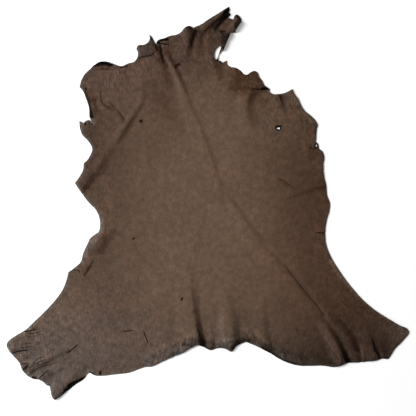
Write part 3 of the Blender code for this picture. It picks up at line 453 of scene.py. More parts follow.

# Stretches of another tone, most of them painted light: painted shade in troughs, on
# the lee of folds, under turned edges and in pits, cuts and nicks, and painted highlight
# and sheen on crests and edges; a few are the skin's own tone.  Each lies along a line
# from its neck end to its tail end, has its own width on the left and right hand of
# someone who walks down it, and multiplies the colour by its tint as strongly as top
# and foot say.
# name: left, right, top, foot, tint, line
# Tints of painted shade that the rows below share
BLACK = (0.028, 0.024, 0.022)
SHADOW = (0.52, 0.43, 0.37)
DUSK = (0.75, 0.70, 0.66)
SHADES = {
    "heel wedge": (22, 1, 1, 1, BLACK, [
        (-305, -420), (-328, -429), (-348, -438), (-355, -448), (-360, -455)]),
    "heel tip": (3, 3, 1, 1, BLACK, [(-378, -475), (-381, -478)]),
    "crown tip": (8, 7, 1, 0.9, BLACK, [(51, 500), (42, 484), (34, 470)]),
    "crown shade": (6, 6, 0.7, 0.5, SHADOW, [(35, 472), (12, 455), (-8, 440)]),
    "crown inner black": (5, 4, 1, 0.8, (0.08, 0.06, 0.05), [(52, 485), (40, 471), (28, 458), (18, 446)]),
    "crown outer black": (4, 4, 1, 0.6, (0.12, 0.09, 0.07), [(48, 490), (25, 470), (8, 455), (-5, 442)]),
    "shoulder sliver": (7, 11, 1, 1, BLACK, [(-241, 357), (-252, 359), (-268, 360), (-282, 356)]),
    "foreleg sliver": (8, 7, 0.7, 1, BLACK, [(-308, 288), (-302, 272), (-295, 250), (-292, 228)]),
    "knot shade": (7, 5, 1, 1, BLACK, [(-103, 422), (-116, 420), (-125, 416)]),
    "knot side": (4, 4, 1, 1, (0.4, 0.28, 0.24), [(-128, 415), (-129, 395)]),
    "knob top": (4, 4, 1, 1, (0.3, 0.26, 0.25), [(-58, 449), (-48, 451), (-40, 445)]),
    "neck sheen": (10, 10, 0.8, 0.4, (1.1, 1.22, 1.4), [(-65, 435), (-60, 405)]),
    "neck trough": (6, 7, 1, 0.3, (0.1, 0.07, 0.05), [(-30, 440), (-35, 430), (-41, 412), (-46, 398)]),
    "neck trough side": (8, 10, 0.8, 0.2, SHADOW, [(-32, 438), (-40, 410), (-48, 375)]),
    "second neck trough": (10, 8, 1, 0.3, DUSK, [(-12, 440), (-15, 410), (-20, 385)]),
    "spine black": (5, 4, 1, 0.1, (0.12, 0.09, 0.07), [(-119, 405), (-116, 390), (-112, 372), (-108, 355)]),
    "beside the spine fold": (11, 12, 0.9, 0.5, (0.56, 0.43, 0.35), [
        (-118, 395), (-112, 365), (-105, 335), (-95, 305)]),
    "spine spur": (4, 4, 0.8, 1, (0.4, 0.31, 0.26), [(-82, 350), (-72, 360)]),
    "lee of the spine fold": (6, 4, 0.8, 0.3, (0.46, 0.37, 0.32), [
        (-106, 390), (-94, 365), (-81, 345), (-69, 320), (-52, 285)]),
    "dark neck edge": (9, 12, 0.8, 0.6, SHADOW, [(18, 370), (28, 350), (32, 328)]),
    "dark neck patch": (30, 26, 1, 1, (0.7, 0.64, 0.57), [(92, 345), (88, 320), (88, 305)]),
    "lappet rim": (3, 4, 1, 1, (0.2, 0.17, 0.15), [(78, 348), (88, 335), (100, 331)]),
    "overlap wedge": (4, 4, 1, 1, BLACK, [(135, 298), (152, 300)]),
    "right shoulder band": (17, 8, 1, 0.15, (0.6, 0.5, 0.43), [
        (115, 295), (108, 278), (102, 260), (102, 240), (108, 222), (115, 202)]),
    "under the lappet": (7, 6, 0.5, 1, (0.74, 0.67, 0.6), [(50, 298), (80, 298), (110, 296)]),
    "lappet shade": (10, 12, 0.8, 1, (0.8, 0.75, 0.7), [(70, 335), (65, 315), (62, 300)]),
    "right foreleg band": (9, 6, 1, 0.3, (0.55, 0.48, 0.43), [(180, 285), (185, 265), (192, 242)]),
    "right edge loop shade": (3, 3, 1, 1, SHADOW, [(255, 150), (270, 148)]),
    "below the loop": (11, 10, 1, 1, (0.82, 0.8, 0.78), [(258, 142), (258, 125)]),
    "light by the loop": (8, 8, 1, 1, (1.25, 1.25, 1.3), [(238, 162), (245, 138)]),
    "shoulder fold band": (10, 6, 0.3, 0.8, (0.66, 0.57, 0.51), [
        (-155, 282), (-165, 258), (-185, 228), (-198, 200), (-220, 170)]),
    "shoulder wedge": (8, 9, 0.3, 1, (0.62, 0.53, 0.5), [
        (-240, 142), (-260, 115), (-280, 85), (-295, 65), (-310, 43)]),
    "foreleg shade": (9, 9, 1, 0.7, (0.86, 0.84, 0.82), [(-295, 210), (-292, 170)]),
    "flank light": (10, 10, 1, 1, (1.12, 1.12, 1.14), [(-260, 75), (-250, 40), (-245, 5)]),
    "flank rim": (5, 5, 1, 1, (1.15, 1.28, 1.45), [(-268, -10), (-262, -58)]),
    "flank shade": (14, 10, 0.8, 1, (0.68, 0.62, 0.63), [(-238, -58), (-250, -80), (-270, -105)]),
    "hock rim": (3, 8, 1, 1, (1.35, 1.55, 1.8), [(-272, -72), (-290, -95), (-302, -120)]),
    "hock crease": (4, 4, 0.6, 1, (0.35, 0.3, 0.28), [(-288, -135), (-300, -155), (-310, -168)]),
    "foot band": (6, 6, 0.8, 1, (0.68, 0.63, 0.63), [(-348, -358), (-370, -368), (-408, -385)]),
    "tail shade": (12, 10, 0.1, 1, (0.42, 0.33, 0.28), [
        (-36, -170), (-33, -210), (-29, -242), (-26, -275), (-21, -305), (-15, -342)]),
    "tail black": (9, 9, 0.2, 1, (0.25, 0.19, 0.16), [(-22, -300), (-16, -325), (-11, -348)]),
    "tail blot": (5, 5, 1, 1, (0.45, 0.45, 0.46), [(-60, -342), (-45, -342)]),
    "tail spot": (4, 4, 1, 1, (0.5, 0.5, 0.5), [(-5, -348), (8, -350)]),
    "tail triangle": (13, 12, 0.1, 1, (0.48, 0.41, 0.38), [(70, -260), (72, -310), (70, -355)]),
    "tail triangle rim": (5, 8, 1, 1, (0.4, 0.37, 0.36), [(58, -348), (70, -338), (85, -331), (102, -330)]),
    "tail fringe": (22, 12, 1, 1, (0.6, 0.61, 0.6), [
        (-30, -340), (-5, -348), (15, -350), (60, -352), (95, -332), (125, -342), (150, -358)]),
    "left tail fringe": (22, 12, 0.6, 1, (0.82, 0.9, 0.98), [
        (-155, -395), (-125, -382), (-90, -365), (-60, -355), (-35, -340)]),
    "third tail shade": (10, 9, 0.1, 1, (0.92, 0.9, 0.88), [(138, -285), (145, -322), (150, -360)]),
    "tail light": (6, 8, 0.3, 1, (1.22, 1.28, 1.38), [(32, -225), (35, -280), (38, -335)]),
    "second tail light": (6, 6, 0.8, 0.5, (1.18, 1.2, 1.24), [(-58, -230), (-55, -280)]),
    "tail rim": (24, 12, 0.5, 0.6, (0.78, 0.84, 0.88), [
        (-145, -385), (-90, -360), (-30, -335), (10, -345), (60, -345), (95, -328), (135, -345),
        (185, -375), (230, -385)]),
    "right leg rim": (34, 7, 1, 0.8, (0.72, 0.76, 0.74), [
        (150, -355), (180, -372), (230, -388), (285, -390), (330, -385)]),
    "right leg black rim": (2, 6, 1, 1, (0.3, 0.27, 0.26), [
        (135, -345), (160, -362), (190, -380), (230, -392)]),
    "right leg black": (12, 5, 0.1, 1, (0.3, 0.22, 0.17), [
        (298, -292), (312, -315), (325, -338), (335, -358), (345, -382)]),
    "right leg black foot": (9, 8, 0.2, 1, BLACK, [(340, -360), (350, -385)]),
    "right leg light": (13, 14, 0.5, 1, (1.55, 1.66, 1.82), [
        (285, -298), (300, -325), (315, -355), (322, -380)]),
    "right leg inner light": (6, 6, 0.5, 1, (1.2, 1.2, 1.25), [(295, -270), (325, -310), (350, -360)]),
    "right thigh rim": (7, 6, 1, 1, (1.25, 1.42, 1.55), [
        (305, -135), (345, -190), (390, -235), (445, -272), (485, -298)]),
    "right shoulder rim": (5, 9, 1, 1, (1.15, 1.28, 1.38), [(220, 272), (238, 245), (265, 218)]),
    "right shoulder corner": (5, 5, 0.5, 1, (0.55, 0.56, 0.55), [(260, 222), (270, 208), (268, 188)]),
    "tear lip": (3, 3, 1, 1, (0.2, 0.12, 0.09), [(170, 202), (175, 206), (182, 204)]),
    "right leg second band": (13, 11, 0.4, 1, (0.6, 0.5, 0.44), [
        (310, -270), (338, -298), (358, -322), (370, -352)]),
    "right leg second light": (9, 9, 0.4, 1, (1.36, 1.38, 1.45), [(372, -305), (385, -335), (392, -370)]),
    "right foot black": (5, 4, 0.05, 1, (0.24, 0.2, 0.18), [
        (405, -318), (412, -338), (420, -355), (430, -378)]),
    "right foot panel": (14, 10, 0.4, 1, (0.62, 0.6, 0.58), [(438, -330), (445, -355), (448, -375)]),
    "right thigh line": (3, 3, 1, 1, SHADOW, [(332, -230), (348, -245)]),
    "back line": (8, 8, 0.6, 1, (0.88, 0.85, 0.84), [(-2, 175), (15, 120), (28, 70), (35, 20), (45, -10)]),
    "loin line": (7, 9, 0.5, 1, (0.88, 0.86, 0.85), [
        (60, 20), (85, -10), (105, -35), (120, -60), (138, -82)]),
    "right flank streak": (5, 5, 0.8, 1, (0.76, 0.7, 0.68), [(200, 22), (242, 40), (292, 55)]),
    "right flank hollow": (9, 10, 0.4, 1, (0.76, 0.72, 0.7), [(250, 40), (275, 45), (295, 50)]),
    "second flank streak": (6, 5, 1, 0.5, (0.78, 0.7, 0.65), [(178, 72), (198, 55), (215, 45)]),
    "left nail pit": (4.5, 4.5, 1, 1, BLACK, [(-168, 218), (-167, 217)]),
    "left nail stain": (9, 9, 1, 1, (0.86, 0.8, 0.78), [(-168, 216), (-164, 214)]),
    "tail nail pit": (4, 4, 1, 1, BLACK, [(-269, -409), (-269, -414)]),
    "back nick": (2.6, 2.6, 1, 1, (0.3, 0.24, 0.2), [(-184, -74), (-188, -78)]),
    "back score": (3, 3, 1, 1, (0.15, 0.1, 0.08), [(-63, -225), (-66, -229)]),
    "leg scar": (3, 3, 1, 1, DUSK, [(222, -305), (223, -305)]),
    "shoulder dot": (2.6, 2.6, 1, 1, BLACK, [(-306, 298), (-304, 297)]),
    "crown spot": (5, 5, 1, 1, BLACK, [(34, 440), (40, 439)]),
    "hook rim": (6, 6, 1, 1, (0.25, 0.18, 0.15), [(71, 481), (80, 475), (84, 464), (76, 450), (68, 441)]),
    "strap edge": (3, 3, 1, 1, (0.35, 0.28, 0.24), [(18, 375), (22, 369), (32, 365)]),
    "neck cut spots": (3, 3, 1, 1, (0.3, 0.28, 0.26), [(28, 368), (35, 360)]),
    "shoulder nicks": (3, 3, 1, 1, (0.2, 0.14, 0.12), [(-218, 352), (-210, 351), (-202, 355)]),
    "under the sliver": (2.5, 3, 1, 1, (0.5, 0.4, 0.36), [(-280, 346), (-260, 348), (-240, 346)]),
    "behind the sliver": (7, 6, 0.8, 0.8, (0.62, 0.54, 0.5), [(-300, 285), (-288, 268), (-278, 252)]),
    "hook spur": (6, 6, 1, 1, (1.25, 1.3, 1.35), [(-290, 220), (-305, 215), (-315, 210)]),
    "hook light": (9, 9, 1, 0.6, (1.08, 1.1, 1.12), [(-310, 200), (-298, 180)]),
    "mid spine line": (5, 5, 0.6, 1, (0.91, 0.89, 0.88), [(12, 125), (28, 75), (50, 30), (70, 8)]),
    "hook spot": (3, 3, 1, 1, BLACK, [(-306, 216), (-306, 208)]),
    "toe nick": (2.5, 3, 1, 1, (0.15, 0.12, 0.1), [(-450, -395), (-461, -404)]),
    "toe black": (3, 3, 1, 1, BLACK, [(-438, -422), (-430, -425)]),
    "heel notch": (3, 3, 1, 1, (0.2, 0.17, 0.15), [(-295, -410), (-285, -415)]),
    "neck tick": (3, 3, 1, 0.4, (0.3, 0.22, 0.18), [(-72, 359), (-78, 358), (-82, 350)]),
    "knot black one": (2.5, 2.5, 1, 1, BLACK, [(-125, 412), (-112, 409), (-100, 408)]),
    "knot light one": (2.5, 2.5, 1, 1, (1.35, 1.35, 1.35), [(-122, 416), (-110, 414), (-100, 415)]),
    "knot light two": (2.5, 2.5, 1, 1, (1.5, 1.5, 1.5), [(-120, 405), (-110, 404), (-102, 404)]),
    "ear tip": (4, 6, 1, 0.5, (0.26, 0.27, 0.28), [(-144, 431), (-138, 418), (-134, 406)]),
    "ear spot": (4, 4, 1, 1, (0.45, 0.46, 0.46), [(-150, 408), (-145, 410)]),
    "heel tone": (16, 15, 1, 1, (0.84, 0.86, 0.88), [(-362, -408), (-372, -440), (-381, -470)]),
    "foreleg band top": (5, 5, 1, 0.6, (0.45, 0.36, 0.3), [(179, 285), (182, 271)]),
}

# Textures of the grain side, in features a metre.  name: scale, detail, roughness
TEXTURES = {
    "clouds": (9, 3, 0.55),
    "blots": (26, 2, 0.55),
    "mottle": (72, 3, 0.72),
    "hue": (22, 3, 0.55),
    "frosting": (150, 3, 0.6),
    "specks": (380, 2, 0.55),
}
STREAK_SCALE = (430, 75, 75)
PORE_SCALE = 620
PEBBLE_SCALE = 300
PEBBLE_SMOOTHNESS = 0.6

# What they multiply the colour by.  name: low, high, and which texture values give them
BROAD_TONES = {
    "clouds": (0.96, 1.04),
    "blots": (0.93, 1.07),
    "mottle": (0.82, 1.18),
}
FINE_TONES = {
    "streaks": (0.88, 1.12),
    "specks": (0.94, 1.06),
    "pores": (0.92, 1.05, 0, 0.6),
}
# Their contrast on loose grain, as more for each unit of looseness, and on tight grain
BROAD_CONTRAST = (0.9, 1.1)
FINE_CONTRAST = (2.7, 0.75)
HUE_CONTRAST = (0.8, 0.2)
WARM = (1.07, 0.98, 0.93, 1)
COOL = (0.94, 1.02, 1.08, 1)
WHITE = (1, 1, 1, 1)
FROST = (1.4, 1.62, 1.8, 1)
FROST_RANGE = (0, 0.5, 0.5, 0.68)
# Painted shade in the creases
CREASE_SHADE_COLOUR = (0.004, 0.002, 0.0015, 1)
GRAIN_ROUGHNESS = (0.52, 0.68)
# How they emboss the grain, one on top of another.  name: metres, strength
BUMPS = {
    "streaks": (0.001, 0.35),
    "pebble": (0.0008, 0.4),
    "specks": (0.0004, 0.35),
}

# Studio, metres and watts
CAMERA_HEIGHT = 2.6
SENSOR_WIDTH = 36.0
VIEW_WIDTH = 1.04          # how much the camera sees at the surface
VIEW_MIDDLE = (0.0, -0.0117)
FLOOR_SIZE = 12.0
FLOOR_GAP = 0.0003
WORLD_STRENGTH = 0.55
# name: place, size, watts, colour
LIGHTS = {
    "key": ((-2.8, 0.8, 2.4), 1.8, 150.0, (1.0, 0.98, 0.95)),
    "cool fill": ((-3.0, -0.8, 0.9), 1.4, 45.0, (0.75, 0.87, 1.0)),
}


# Shape of the skin

def heading(turn):
    """The unit vector that points so many degrees round from +X."""
    return np.array([math.cos(math.radians(turn)), math.sin(math.radians(turn))])


def noise_over(places, name):
    """One of the noises, at each place."""
    middle, layers = NOISES[name]
    total = np.full(len(places), float(middle))
    for across, along, layer, strength in layers:
        spots = [Vector((x / across, y / along, layer)) for x, y in places]
        total += strength * np.array([noise.noise(spot) for spot in spots])
    return total


def soft_step(share):
    """A smooth climb from 0 to 1 as share does."""
    share = np.clip(share, 0, 1)
    return share * share * (3 - 2 * share)


def eased(end_share, ends):
    """From end_share to 1 as ends goes from 0 to 1."""
    return end_share + (1 - end_share) * ends


def curve_through(rows, error, longest):
    """Points along the closed edge through rows of x, y and perhaps CORNER."""
    places = np.array([row[:2] for row in rows], float)
    chords = np.roll(places, -1, axis=0) - places
    spans = np.linalg.norm(chords, axis=1)
    headings = chords / spans[:, None]
    before = np.roll(spans, 1)
    smooth = np.roll(headings, 1, axis=0) * spans[:, None] + headings * before[:, None]
    smooth = smooth / (spans + before)[:, None]
    points = []
    for here, row in enumerate(rows):
        there = (here + 1) % len(rows)
        leave = headings[here] if CORNER in row else smooth[here]
        arrive = headings[here] if CORNER in rows[there] else smooth[there]
        bend = np.linalg.norm(arrive - leave) + np.linalg.norm(leave + arrive - 2 * headings[here])
        steps = math.ceil(max(math.sqrt(bend * spans[here] / (8 * error)), spans[here] / longest))
        for u in np.arange(steps) / steps:
            points.append(
                (2 * u**3 - 3 * u**2 + 1) * places[here]
                + (u**3 - 2 * u**2 + u) * spans[here] * leave
                + (3 * u**2 - 2 * u**3) * places[there]
                + (u**3 - u**2) * spans[here] * arrive
            )
    return np.array(points)


def roll_frame(name):
    """Where a turned edge starts to bend, its direction, its outward normal and its length."""
    seen, end = np.array(TURNED[name], float)
    length = np.linalg.norm(end - seen)
    along = (end - seen) / length
    outward = np.array([along[1], -along[0]])
    return seen - outward * ROLL_RADIUS, along, outward, length


def unturned(name, x, y):
    """The flat place of a point that is seen at (x, y) on a turned-over layer."""
    start, along, outward, _ = roll_frame(name)
    place = np.array([x, y], float) - start
    inside = max(-place.dot(outward), 0.0)
    return start + along * place.dot(along) + outward * (ROLL_RADIUS * ROLL_TURN + inside)


def cut_edge():
    """All rows of the flat pattern's edge, with the turned-over stretches laid flat."""
    rows = []
    for name, stretch in OUTLINE.items():
        if name in TURNED:
            stretch = [(*unturned(name, *row[:2]), *row[2:]) for row in stretch]
        rows += stretch
    return rows


def ragged(loop):
    """A cut edge with the small waver and nicks of a hand knife."""
    way = np.roll(loop, -1, axis=0) - np.roll(loop, 1, axis=0)
    way = way / np.linalg.norm(way, axis=1)[:, None]
    outward = np.stack([way[:, 1], -way[:, 0]], axis=1)
    return loop + outward * (EDGE_RAGGED * noise_over(loop, "knife"))[:, None]


def hole_edge(x, y, length, width, turn, bow, lobes, pointed):
    """Points round one hole: an ellipse that may be bowed along its length or have lobes."""
    steps = max(12, math.ceil(math.pi * length / HOLE_STEP))
    angle = 2 * math.pi * np.arange(steps) / steps
    reach = 1 + pointed * np.cos(lobes * angle)
    along = length / 2 * reach * np.cos(angle)
    across = width / 2 * reach * np.sin(angle) + bow * np.sin(angle) ** 2
    return np.array([x, y]) + np.outer(along, heading(turn)) + np.outer(across, heading(turn + 90))


def inside_loop(places, loop):
    """Whether each place is inside a closed loop, by counting crossings to its left."""
    order = np.argsort(places[:, 1])
    x, y = places[order].T
    crossings = np.zeros(len(places), int)
    for (x0, y0), (x1, y1) in zip(loop, np.roll(loop, -1, axis=0)):
        low, high = np.searchsorted(y, sorted((y0, y1)))
        if low < high:
            at = x0 + (y[low:high] - y0) * (x1 - x0) / (y1 - y0)
            crossings[low:high] += at < x[low:high]
    inside = np.zeros(len(places), bool)
    inside[order] = crossings % 2 == 1
    return inside


def on_skin(places, loops):
    """Whether each place is inside the outer edge and in no hole."""
    kept = inside_loop(places, loops[0])
    for loop in loops[1:]:
        kept &= ~inside_loop(places, loop)
    return kept


def tree_of(points):
    """A search tree over points in the plane."""
    tree = KDTree(len(points))
    for index, (x, y) in enumerate(points):
        tree.insert((x, y, 0), index)
    tree.balance()
    return tree


def nearest_in(tree, places):
    """How far each place is from the tree's nearest point, and the way there."""
    found = np.array([tree.find((x, y, 0))[0][:2] for x, y in places])
    way = found - places
    away = np.linalg.norm(way, axis=1)
    return away, way / np.maximum(away, 1e-6)[:, None]


def smoothed(line):
    """A line with its corners rounded off in three passes, its two ends kept."""
    points = np.array(line, float)
    for _ in range(3):
        cuts = [points[:1]]
        for start, end in zip(points[:-1], points[1:]):
            cuts.append(np.array([start * 0.75 + end * 0.25, start * 0.25 + end * 0.75]))
        cuts.append(points[-1:])
        points = np.concatenate(cuts)
    return points


def near_line(places, line, reach):
    """The places near a line of rows: which they are, how far off, the row abreast of them,
    how far along and on which side."""
    rows = smoothed(line)
    points = rows[:, :2]
    near = ((places > points.min(axis=0) - reach) & (places < points.max(axis=0) + reach)).all(axis=1)
    near = np.flatnonzero(near)
    spots = places[near]
    lengths = np.linalg.norm(np.diff(points, axis=0), axis=1)
    nearest = np.full(len(spots), 1e9)
    abreast = np.zeros((len(spots), rows.shape[1]))
    along = np.zeros(len(spots))
    on_left = np.zeros(len(spots), bool)
    done = 0.0
    for start, end, length in zip(rows[:-1], rows[1:], lengths):
        edge = end[:2] - start[:2]
        rel = spots - start[:2]
        share = np.clip(rel @ edge / length**2, 0, 1)
        away = np.linalg.norm(rel - share[:, None] * edge, axis=1)
        closer = away < nearest
        nearest[closer] = away[closer]
        abreast[closer] = (start + share[:, None] * (end - start))[closer]
        along[closer] = ((done + share * length) / lengths.sum())[closer]
        on_left[closer] = (edge[0] * rel[:, 1] - edge[1] * rel[:, 0] > 0)[closer]
        done += length
    return near, nearest, abreast, along, on_left


def add_fold(rows, places, height):
    """Raise height by one ridge, joined to the others as the root of summed squares."""
    reach = max(max(right, left) for *_, right, left in rows)
    near, away, abreast, _, on_left = near_line(places, rows, reach)
    crest, right, left = abreast[:, 2:].T
    across = np.clip(away / np.where(on_left, left, right), 0, 1)
    ridge = crest * (1 - across**2) ** 2
    height[near] = np.sqrt(height[near] ** 2 + ridge**2)


def wave_sum(waves, places):
    """Mean of plane waves, from -1 to 1."""
    total = np.zeros(len(places))
    for length, toward, crest in waves:
        total += np.cos(2 * math.pi * (places @ heading(toward) - crest) / length)
    return total / len(waves)


def height_over(places, edge):
    """Height of the underside: nowhere below zero, and zero wherever it is pressed flat."""
    uneven = EDGE_LIFT_MEAN + EDGE_LIFT_SWING * wave_sum(EDGE_WAVES, places)
    lift = EDGE_LIFT * uneven * soft_step(1 - edge / EDGE_REACH)
    frill = FRILL_HEIGHT * noise_over(places, "frill") * soft_step(1 - edge / FRILL_REACH)
    raw = SWELL_HEIGHT * wave_sum(WAVES, places) - SWELL_CONTACT + lift + frill
    soft = CONTACT_SOFTNESS
    raised = np.where(raw > soft, raw, np.clip(raw + soft, 0, None) ** 2 / (4 * soft))
    folds = np.zeros(len(places))
    for rows in FOLDS.values():
        add_fold(rows, places, folds)
    for right, left, rows in SMALL_FOLDS.values():
        add_fold([(*row, right, left) for row in rows], places, folds)
    return (raised + folds) * eased(EDGE_KEEP, soft_step(edge / EDGE_ROLL))


def turned_over(places):
    """Plan place and extra height of each flat place, once the neck's edges are bent over."""
    plan = places.copy()
    lift = np.zeros(len(places))
    for name in TURNED:
        start, along, outward, length = roll_frame(name)
        rel = places - start
        t = rel @ along
        s = rel @ outward
        turn = ROLL_TURN * eased(ROLL_END, soft_step(np.minimum(t, length - t) / (ROLL_EASE * length)))
        bent = (s > 0) & (t > 0) & (t < length)
        arc = np.minimum(s / ROLL_RADIUS, turn)
        past = np.maximum(s - ROLL_RADIUS * turn, 0)
        reach = ROLL_RADIUS * np.sin(arc) + past * np.cos(turn)
        rise = ROLL_RADIUS * (1 - np.cos(arc)) + past * np.sin(turn)
        plan[bent] = (start + t[:, None] * along + reach[:, None] * outward)[bent]
        lift[bent] = rise[bent]
    return plan, lift


# Flat meshes

def crease_points():
    """Points along and beside each crease, so that its groove is crisp."""
    points = []
    for half, _, _, line in CREASES.values():
        line = smoothed(line)
        runs = np.concatenate([[0], np.cumsum(np.linalg.norm(np.diff(line, axis=0), axis=1))])
        at = np.linspace(0, runs[-1], max(3, round(runs[-1] / CREASE_STEP) + 1))
        spots = np.stack([np.interp(at, runs, values) for values in line.T], axis=1)
        way = np.gradient(spots, axis=0)
        way = way / np.linalg.norm(way, axis=1)[:, None]
        beside = np.stack([-way[:, 1], way[:, 0]], axis=1)
        points += [spots + beside * row * half for row in CREASE_ROWS]
    return np.concatenate(points)


def lattice(loops, spacing, is_fine):
    """Points inside the skin on a triangular lattice, with midpoints wherever is_fine says."""
    low = loops[0].min(axis=0)
    span = loops[0].max(axis=0) - low
    row_step = spacing * math.sqrt(0.75)
    row, column = np.indices((int(span[1] / row_step) + 2, int(span[0] / spacing) + 2)).reshape(2, -1)
    coarse = np.stack([low[0] + spacing * (column + 0.5 * (row % 2)), low[1] + row_step * row], axis=1)
    coarse = coarse[on_skin(coarse, loops)]
    fine = coarse[is_fine(coarse)]
    between = np.concatenate([fine + spacing / 2 * heading(turn) for turn in (0, 60, 120)])
    return np.concatenate([coarse, between[on_skin(between, loops)]])


def thinned(places, tree, gap):
    """The places that are further than gap from the points of a tree."""
    return places[nearest_in(tree, places)[0] > gap]


def triangulated(loops, spots):
    """The flat pattern as points and triangles.  The points of the loops come first, in order."""
    places = np.concatenate(loops + [spots])
    edges = []
    first = 0
    for loop in loops:
        count = len(loop)
        edges += [(first + k, first + (k + 1) % count) for k in range(count)]
        first += count
    rim = list(range(len(loops[0])))
    result = delaunay_2d_cdt([Vector(place) for place in places], edges, [rim], 1, 1e-5)
    flat = np.array([tuple(place) for place in result[0]])
    faces = np.array(result[2])
    faces = faces[on_skin(flat[faces].mean(axis=1), loops)]
    assert result[3] == [[k] for k in range(len(places))], "points have merged"
    a, b, c = flat[faces.T]
    backward = np.cross(b - a, c - a) < 0
    faces[backward] = faces[backward][:, ::-1]
    return flat, faces


def grain_pattern(loops, edge_tree):
    """The flat mesh of the grain side, finer at its creases and its edge."""
    creases = crease_points()
    creases = thinned(creases[on_skin(creases, loops)], edge_tree, CREASE_TO_EDGE)
    crease_tree = tree_of(creases)

    def is_fine(places):
        by_edge = nearest_in(edge_tree, places)[0] < FINE_BY_EDGE
        return by_edge | (nearest_in(crease_tree, places)[0] < FINE_BY_CREASE)

    spots = thinned(lattice(loops, GRAIN_SPACING, is_fine), edge_tree, GRAIN_TO_EDGE)
    spots = thinned(spots, crease_tree, GRAIN_TO_CREASE)
    return triangulated(loops, np.concatenate([creases, spots]))


def flesh_pattern(loops, edge_tree):
    """The flat mesh of the flesh side, finer under folds and turned edges."""
    def is_fine(places):
        edge, _ = nearest_in(edge_tree, places)
        plan, lift = turned_over(places)
        return (height_over(plan, edge) > FINE_ABOVE) | (lift > 0)

    spots = lattice(loops, FLESH_SPACING, is_fine)
    return triangulated(loops, thinned(spots, edge_tree, FLESH_TO_EDGE))


# Grain side

def grooves(places):
    """Depth below the grain and painted shade of every crease, at each place."""
    depth = np.zeros(len(places))
    dark = np.zeros(len(places))
    for half, deep, black, line in CREASES.values():
        near, away, _, along, _ = near_line(places, line, LIP_REACH * half)
        across = away / half
        ends = soft_step(np.minimum(along, 1 - along) / CREASE_TAPER)
        hollow = np.clip(1 - across**2, 0, 1)
        lip = np.clip(1 - (2 * across - 1 - LIP_REACH) ** 2 / (LIP_REACH - 1) ** 2, 0, 1)
        depth[near] = np.maximum(depth[near], deep * hollow * eased(CREASE_END_DEPTH, ends))
        depth[near] -= np.where(across > 1, deep * LIP_SHARE * lip * ends, 0)
        middle = np.clip(CREASE_BLACK * (1 - across**2), 0, 1)
        dark[near] = np.maximum(dark[near], black * middle * eased(CREASE_END_BLACK, ends))
    return depth, dark


def oval_share(places, x, y, long, wide, turn):
    """1 in the middle of an oval, falling off smoothly past its reach."""
    rel = places - np.array([x, y])
    u = rel @ heading(turn) / long
    v = rel @ heading(turn + 90) / wide
    return np.exp(-(u**2 + v**2))


def slack_over(places, edge):
    """How loose the grain is, from 0 on the back to about 1 on the legs."""
    slack = SLACK_SHARE * soft_step(1 - edge / SLACK_REACH)
    for *oval, share in LOOSE.values():
        slack += share * oval_share(places, *oval)
    for left, right, loose, line in FRINGES.values():
        near, away, _, _, on_left = near_line(places, line, max(left, right))
        slack[near] += loose * soft_step(2 * (1 - away / np.where(on_left, left, right)))
    return slack


def tinting(tint, share):
    """What a colour is multiplied by for a tint, as strongly as share says."""
    return 1 + (np.array(tint) - 1) * share[:, None]


def colour_over(places, edge, way, hole_away):
    """The skin's colour at each place with painted shade and highlights, before grain and mottling."""
    tone = np.ones((len(places), 3))
    for toward, start, end, tint in SLOPES.values():
        tone *= tinting(tint, soft_step((places @ heading(toward) - start) / (end - start)))
    # the slopes' tone, with their painted fall-off of light; the edge rim's colour follows it
    fall = tone[:, 1].copy()
    for *oval, tint in PATCHES.values():
        tone *= tinting(tint, oval_share(places, *oval))
    colour = np.array(LEATHER) * tone
    lit = np.clip(way @ np.array(LIT_SIDE), -1, 1)
    fleck = noise_over(places, "fleck")
    # greyer rim at the edge: wear, and painted sheen where the edge faces the light
    wear_and_sheen = soft_step(1 - edge / WEAR_AND_SHEEN_REACH) * (WEAR_AND_SHEEN_SHARE + PAINTED_SHEEN_SHARE * np.clip(lit, 0, 1))
    wear_and_sheen *= np.clip(1 + WEAR_AND_SHEEN_FLECKS * fleck, 0, WEAR_AND_SHEEN_LIMIT) * soft_step(hole_away / WEAR_AND_SHEEN_FROM_HOLE)
    colour += (np.array(WEAR_AND_SHEEN) * fall[:, None] - colour) * wear_and_sheen[:, None]
    wobble = noise_over(places, "wobble")
    # painted shade and painted highlight along lines, and a few marks of the skin's own tone
    for left, right, top, foot, tint, line in SHADES.values():
        near, away, _, along, on_left = near_line(places, line, max(left, right))
        share = soft_step(2 * (1 - away * wobble[near] / np.where(on_left, left, right)))
        colour[near] *= tinting(tint, share * (top + (foot - top) * along))
    # painted shade round the rims of the small holes
    colour *= (1 - RIM_DARK * soft_step(RIM_END - hole_away / RIM_WIDTH))[:, None]
    dim = soft_step(1 - edge / AWAY_REACH) * np.clip(-lit + AWAY_FLECKS * fleck, 0, 1)
    return colour * (1 - AWAY_DARK * dim)[:, None]


def normals_of(corners, faces):
    """Area-weighted normals at the corners of triangles."""
    a, b, c = corners[faces.T]
    face_normals = np.cross(b - a, c - a)
    normals = np.zeros_like(corners)
    for corner in faces.T:
        np.add.at(normals, corner, face_normals)
    return normals / np.linalg.norm(normals, axis=1)[:, None]


# The sheet

def cut_quads(loops, grain_count):
    """The faces of the cut edge, between the rims of the grain and the flesh side."""
    quads = []
    first = 0
    for number, loop in enumerate(loops):
        here = first + np.arange(len(loop))
        there = np.roll(here, -1)
        if number > 0:
            here, there = there, here
        quads.append(np.stack([there, here, here + grain_count, there + grain_count], axis=1))
        first += len(loop)
    return np.concatenate(quads)


def add_shares(mesh, name, shares):
    """A value for each point of the grain side, nought on the others."""
    values = np.zeros(len(mesh.vertices), np.float32)
    values[:len(shares)] = shares
    mesh.attributes.new(name, "FLOAT", "POINT").data.foreach_set("value", values)


